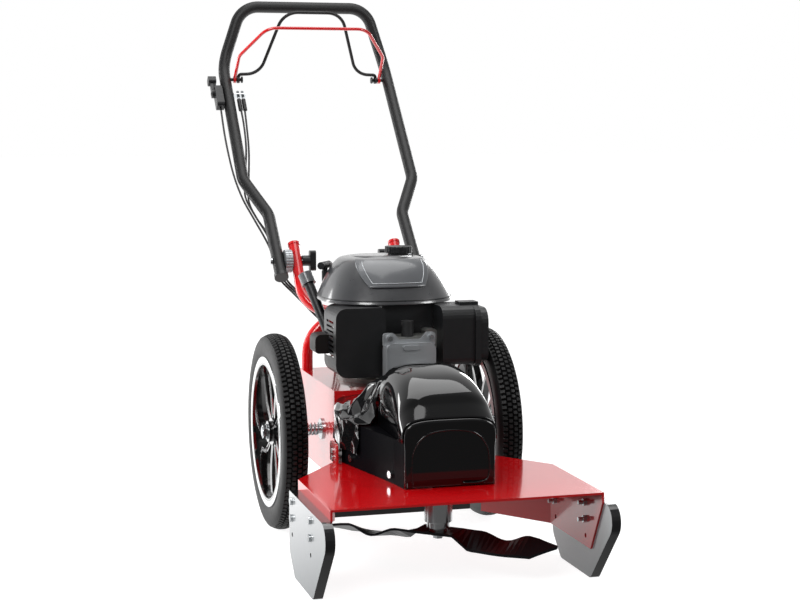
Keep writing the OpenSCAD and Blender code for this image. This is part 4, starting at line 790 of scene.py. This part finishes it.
class TrimmerLook(bpy.types.PropertyGroup):
    """Looks that can be changed before the pieces are made."""

    paint: FloatVectorProperty(
        name="Paint", description="sRGB colour of the red powder coat", default=(0.72, 0.03, 0.055),
        min=0, max=1, subtype="COLOR_GAMMA",
    )
    tread_depth: FloatProperty(
        name="Tread depth", description="Depth of the grooves in the tyres", default=0.005,
        min=0.001, max=0.008, unit="LENGTH",
    )
    tread_blocks: IntProperty(
        name="Tread blocks", description="Blocks round each tyre", default=112, min=40, max=140,
    )
    crease: FloatProperty(
        name="Apron crease", description="Height of the folds in the vinyl apron", default=0.008,
        min=0.002, max=0.012, unit="LENGTH",
    )


class TRIMMER_OT_paint(bpy.types.Operator):
    """Give every CAD node its material and soft edges"""

    bl_idname = "trimmer.paint"
    bl_label = "Paint the CAD nodes"

    def execute(self, context):
        MATS.update(materials(context.scene.trimmer))
        for look, names in CAD_LOOK.items():
            for name in names.split():
                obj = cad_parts[name]
                obj.data.materials.clear()
                obj.data.materials.append(MATS[look])
                obj.data.polygons.foreach_set("use_smooth", [True] * len(obj.data.polygons))
                sharp(obj, 32)
                if name in SOFT_EDGES:
                    round_edges(obj, SOFT_EDGES[name])
        return {"FINISHED"}


class TRIMMER_OT_handlebar(bpy.types.Operator):
    """Handlebar tube with its bracket, and the two bails"""

    bl_idname = "trimmer.handlebar"
    bl_label = "Make the handlebar"

    def execute(self, context):
        make_handlebar()
        make_cable_bracket()
        stop_line = [(172.94, 14), (122, 16), (72, 174)]
        make_bail("stop_bail", 22, 173.94, stop_line, [7, 44, 48], "tube", "black_paint")
        drive_line = [(179.94, 78), (122, 168)]
        make_bail("drive_bail", 44, 182.94, drive_line, [30, 44], "red", "red_paint")
        return {"FINISHED"}


class TRIMMER_OT_hood(bpy.types.Operator):
    """Smooth moulded hood with an arched rib on its face and an oval step on its slope"""

    bl_idname = "trimmer.hood"
    bl_label = "Make the hood"

    def execute(self, context):
        fine = [row for row in between(HOOD_ROWS, 8) if row[0] > 0.024]
        make_hood_shell(fine)
        make_hood_face(fine)
        make_hood_lines(fine)
        return {"FINISHED"}


class TRIMMER_OT_engine(bpy.types.Operator):
    """Smooth fan cover with its panel, and small parts on the engine"""

    bl_idname = "trimmer.engine"
    bl_label = "Make the engine covers"

    def execute(self, context):
        make_fan_cover()
        make_cover_panel()
        make_cover_seam()
        make_valve_cover()
        return {"FINISHED"}


class TRIMMER_OT_tyres(bpy.types.Operator):
    """Tyres with tread blocks, and the bright edges of the rims"""

    bl_idname = "trimmer.tyres"
    bl_label = "Make the tyres"

    def execute(self, context):
        look = context.scene.trimmer
        for name, side in (("left", 1), ("right", -1)):
            make_tyre(name, side, look.tread_depth * 1000, look.tread_blocks)
            make_rim_edge(name, side)
        return {"FINISHED"}


class TRIMMER_OT_apron(bpy.types.Operator):
    """Creased vinyl apron that lies over the belt tunnel"""

    bl_idname = "trimmer.apron"
    bl_label = "Make the apron"

    def execute(self, context):
        make_apron(context.scene.trimmer.crease * 1000)
        return {"FINISHED"}


class TRIMMER_OT_cables(bpy.types.Operator):
    """Control cables, each in one run"""

    bl_idname = "trimmer.cables"
    bl_label = "Make the cables"

    def execute(self, context):
        make_cables()
        return {"FINISHED"}


class TRIMMER_OT_stage(bpy.types.Operator):
    """White floor, soft studio light and the camera of the photo"""

    bl_idname = "trimmer.stage"
    bl_label = "Set the stage"

    def execute(self, context):
        scene = context.scene
        scene.view_settings.view_transform = "Standard"
        make_world(scene)
        make_floor(scene)
        # The two strips behind the machine draw the white streaks on its gloss parts
        for light in (
            ("side_light", (-2.8, 0.2, 1.0), (0, -0.1, 0.3), (2.2, 2.2), 120, 0),
            ("key_light", (-1.6, -2.6, 2.6), (0, -0.1, 0.4), (1.4, 1.4), 60, 0.25),
            ("fill_light", (2.6, -2.0, 2.0), (0, -0.1, 0.4), (1.2, 1.2), 45, 0.4),
            ("top_light", (0.2, 0.2, 3.2), (0, 0, 0.3), (2.4, 2.4), 50, 0.2),
            ("left_strip", (-1.9, 1.9, 0.8), (0, -0.3, 0.3), (0.4, 1.4), 14, 1),
            ("right_strip", (1.7, 2.2, 0.9), (0, -0.3, 0.3), (0.4, 1.4), 14, 1),
        ):
            make_light(scene, *light)
        make_camera(scene)
        return {"FINISHED"}


class TRIMMER_PT_panel(bpy.types.Panel):
    """Buttons for the pieces of the brush cutter"""

    bl_idname = "TRIMMER_PT_panel"
    bl_label = "Brush cutter"
    bl_space_type = "VIEW_3D"
    bl_region_type = "UI"
    bl_category = "Brush cutter"

    def draw(self, context):
        look = context.scene.trimmer
        for name in ("paint", "tread_depth", "tread_blocks", "crease"):
            self.layout.prop(look, name)
        for step in STEPS:
            self.layout.operator("trimmer." + step)


STEPS = ("paint", "handlebar", "hood", "engine", "tyres", "apron", "cables", "stage")
CLASSES = (
    TrimmerLook, TRIMMER_OT_paint, TRIMMER_OT_handlebar, TRIMMER_OT_hood, TRIMMER_OT_engine, TRIMMER_OT_tyres,
    TRIMMER_OT_apron, TRIMMER_OT_cables, TRIMMER_OT_stage, TRIMMER_PT_panel,
)


def register():
    for cls in CLASSES:
        bpy.utils.register_class(cls)
    bpy.types.Scene.trimmer = PointerProperty(type=TrimmerLook)


def unregister():
    del bpy.types.Scene.trimmer
    for cls in reversed(CLASSES):
        bpy.utils.unregister_class(cls)


def main():
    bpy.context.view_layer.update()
    register()
    for step in STEPS:
        result = getattr(bpy.ops.trimmer, step)()
        if "FINISHED" not in result:
            raise RuntimeError("step failed: " + step)


if __name__ == "__main__":
    main()
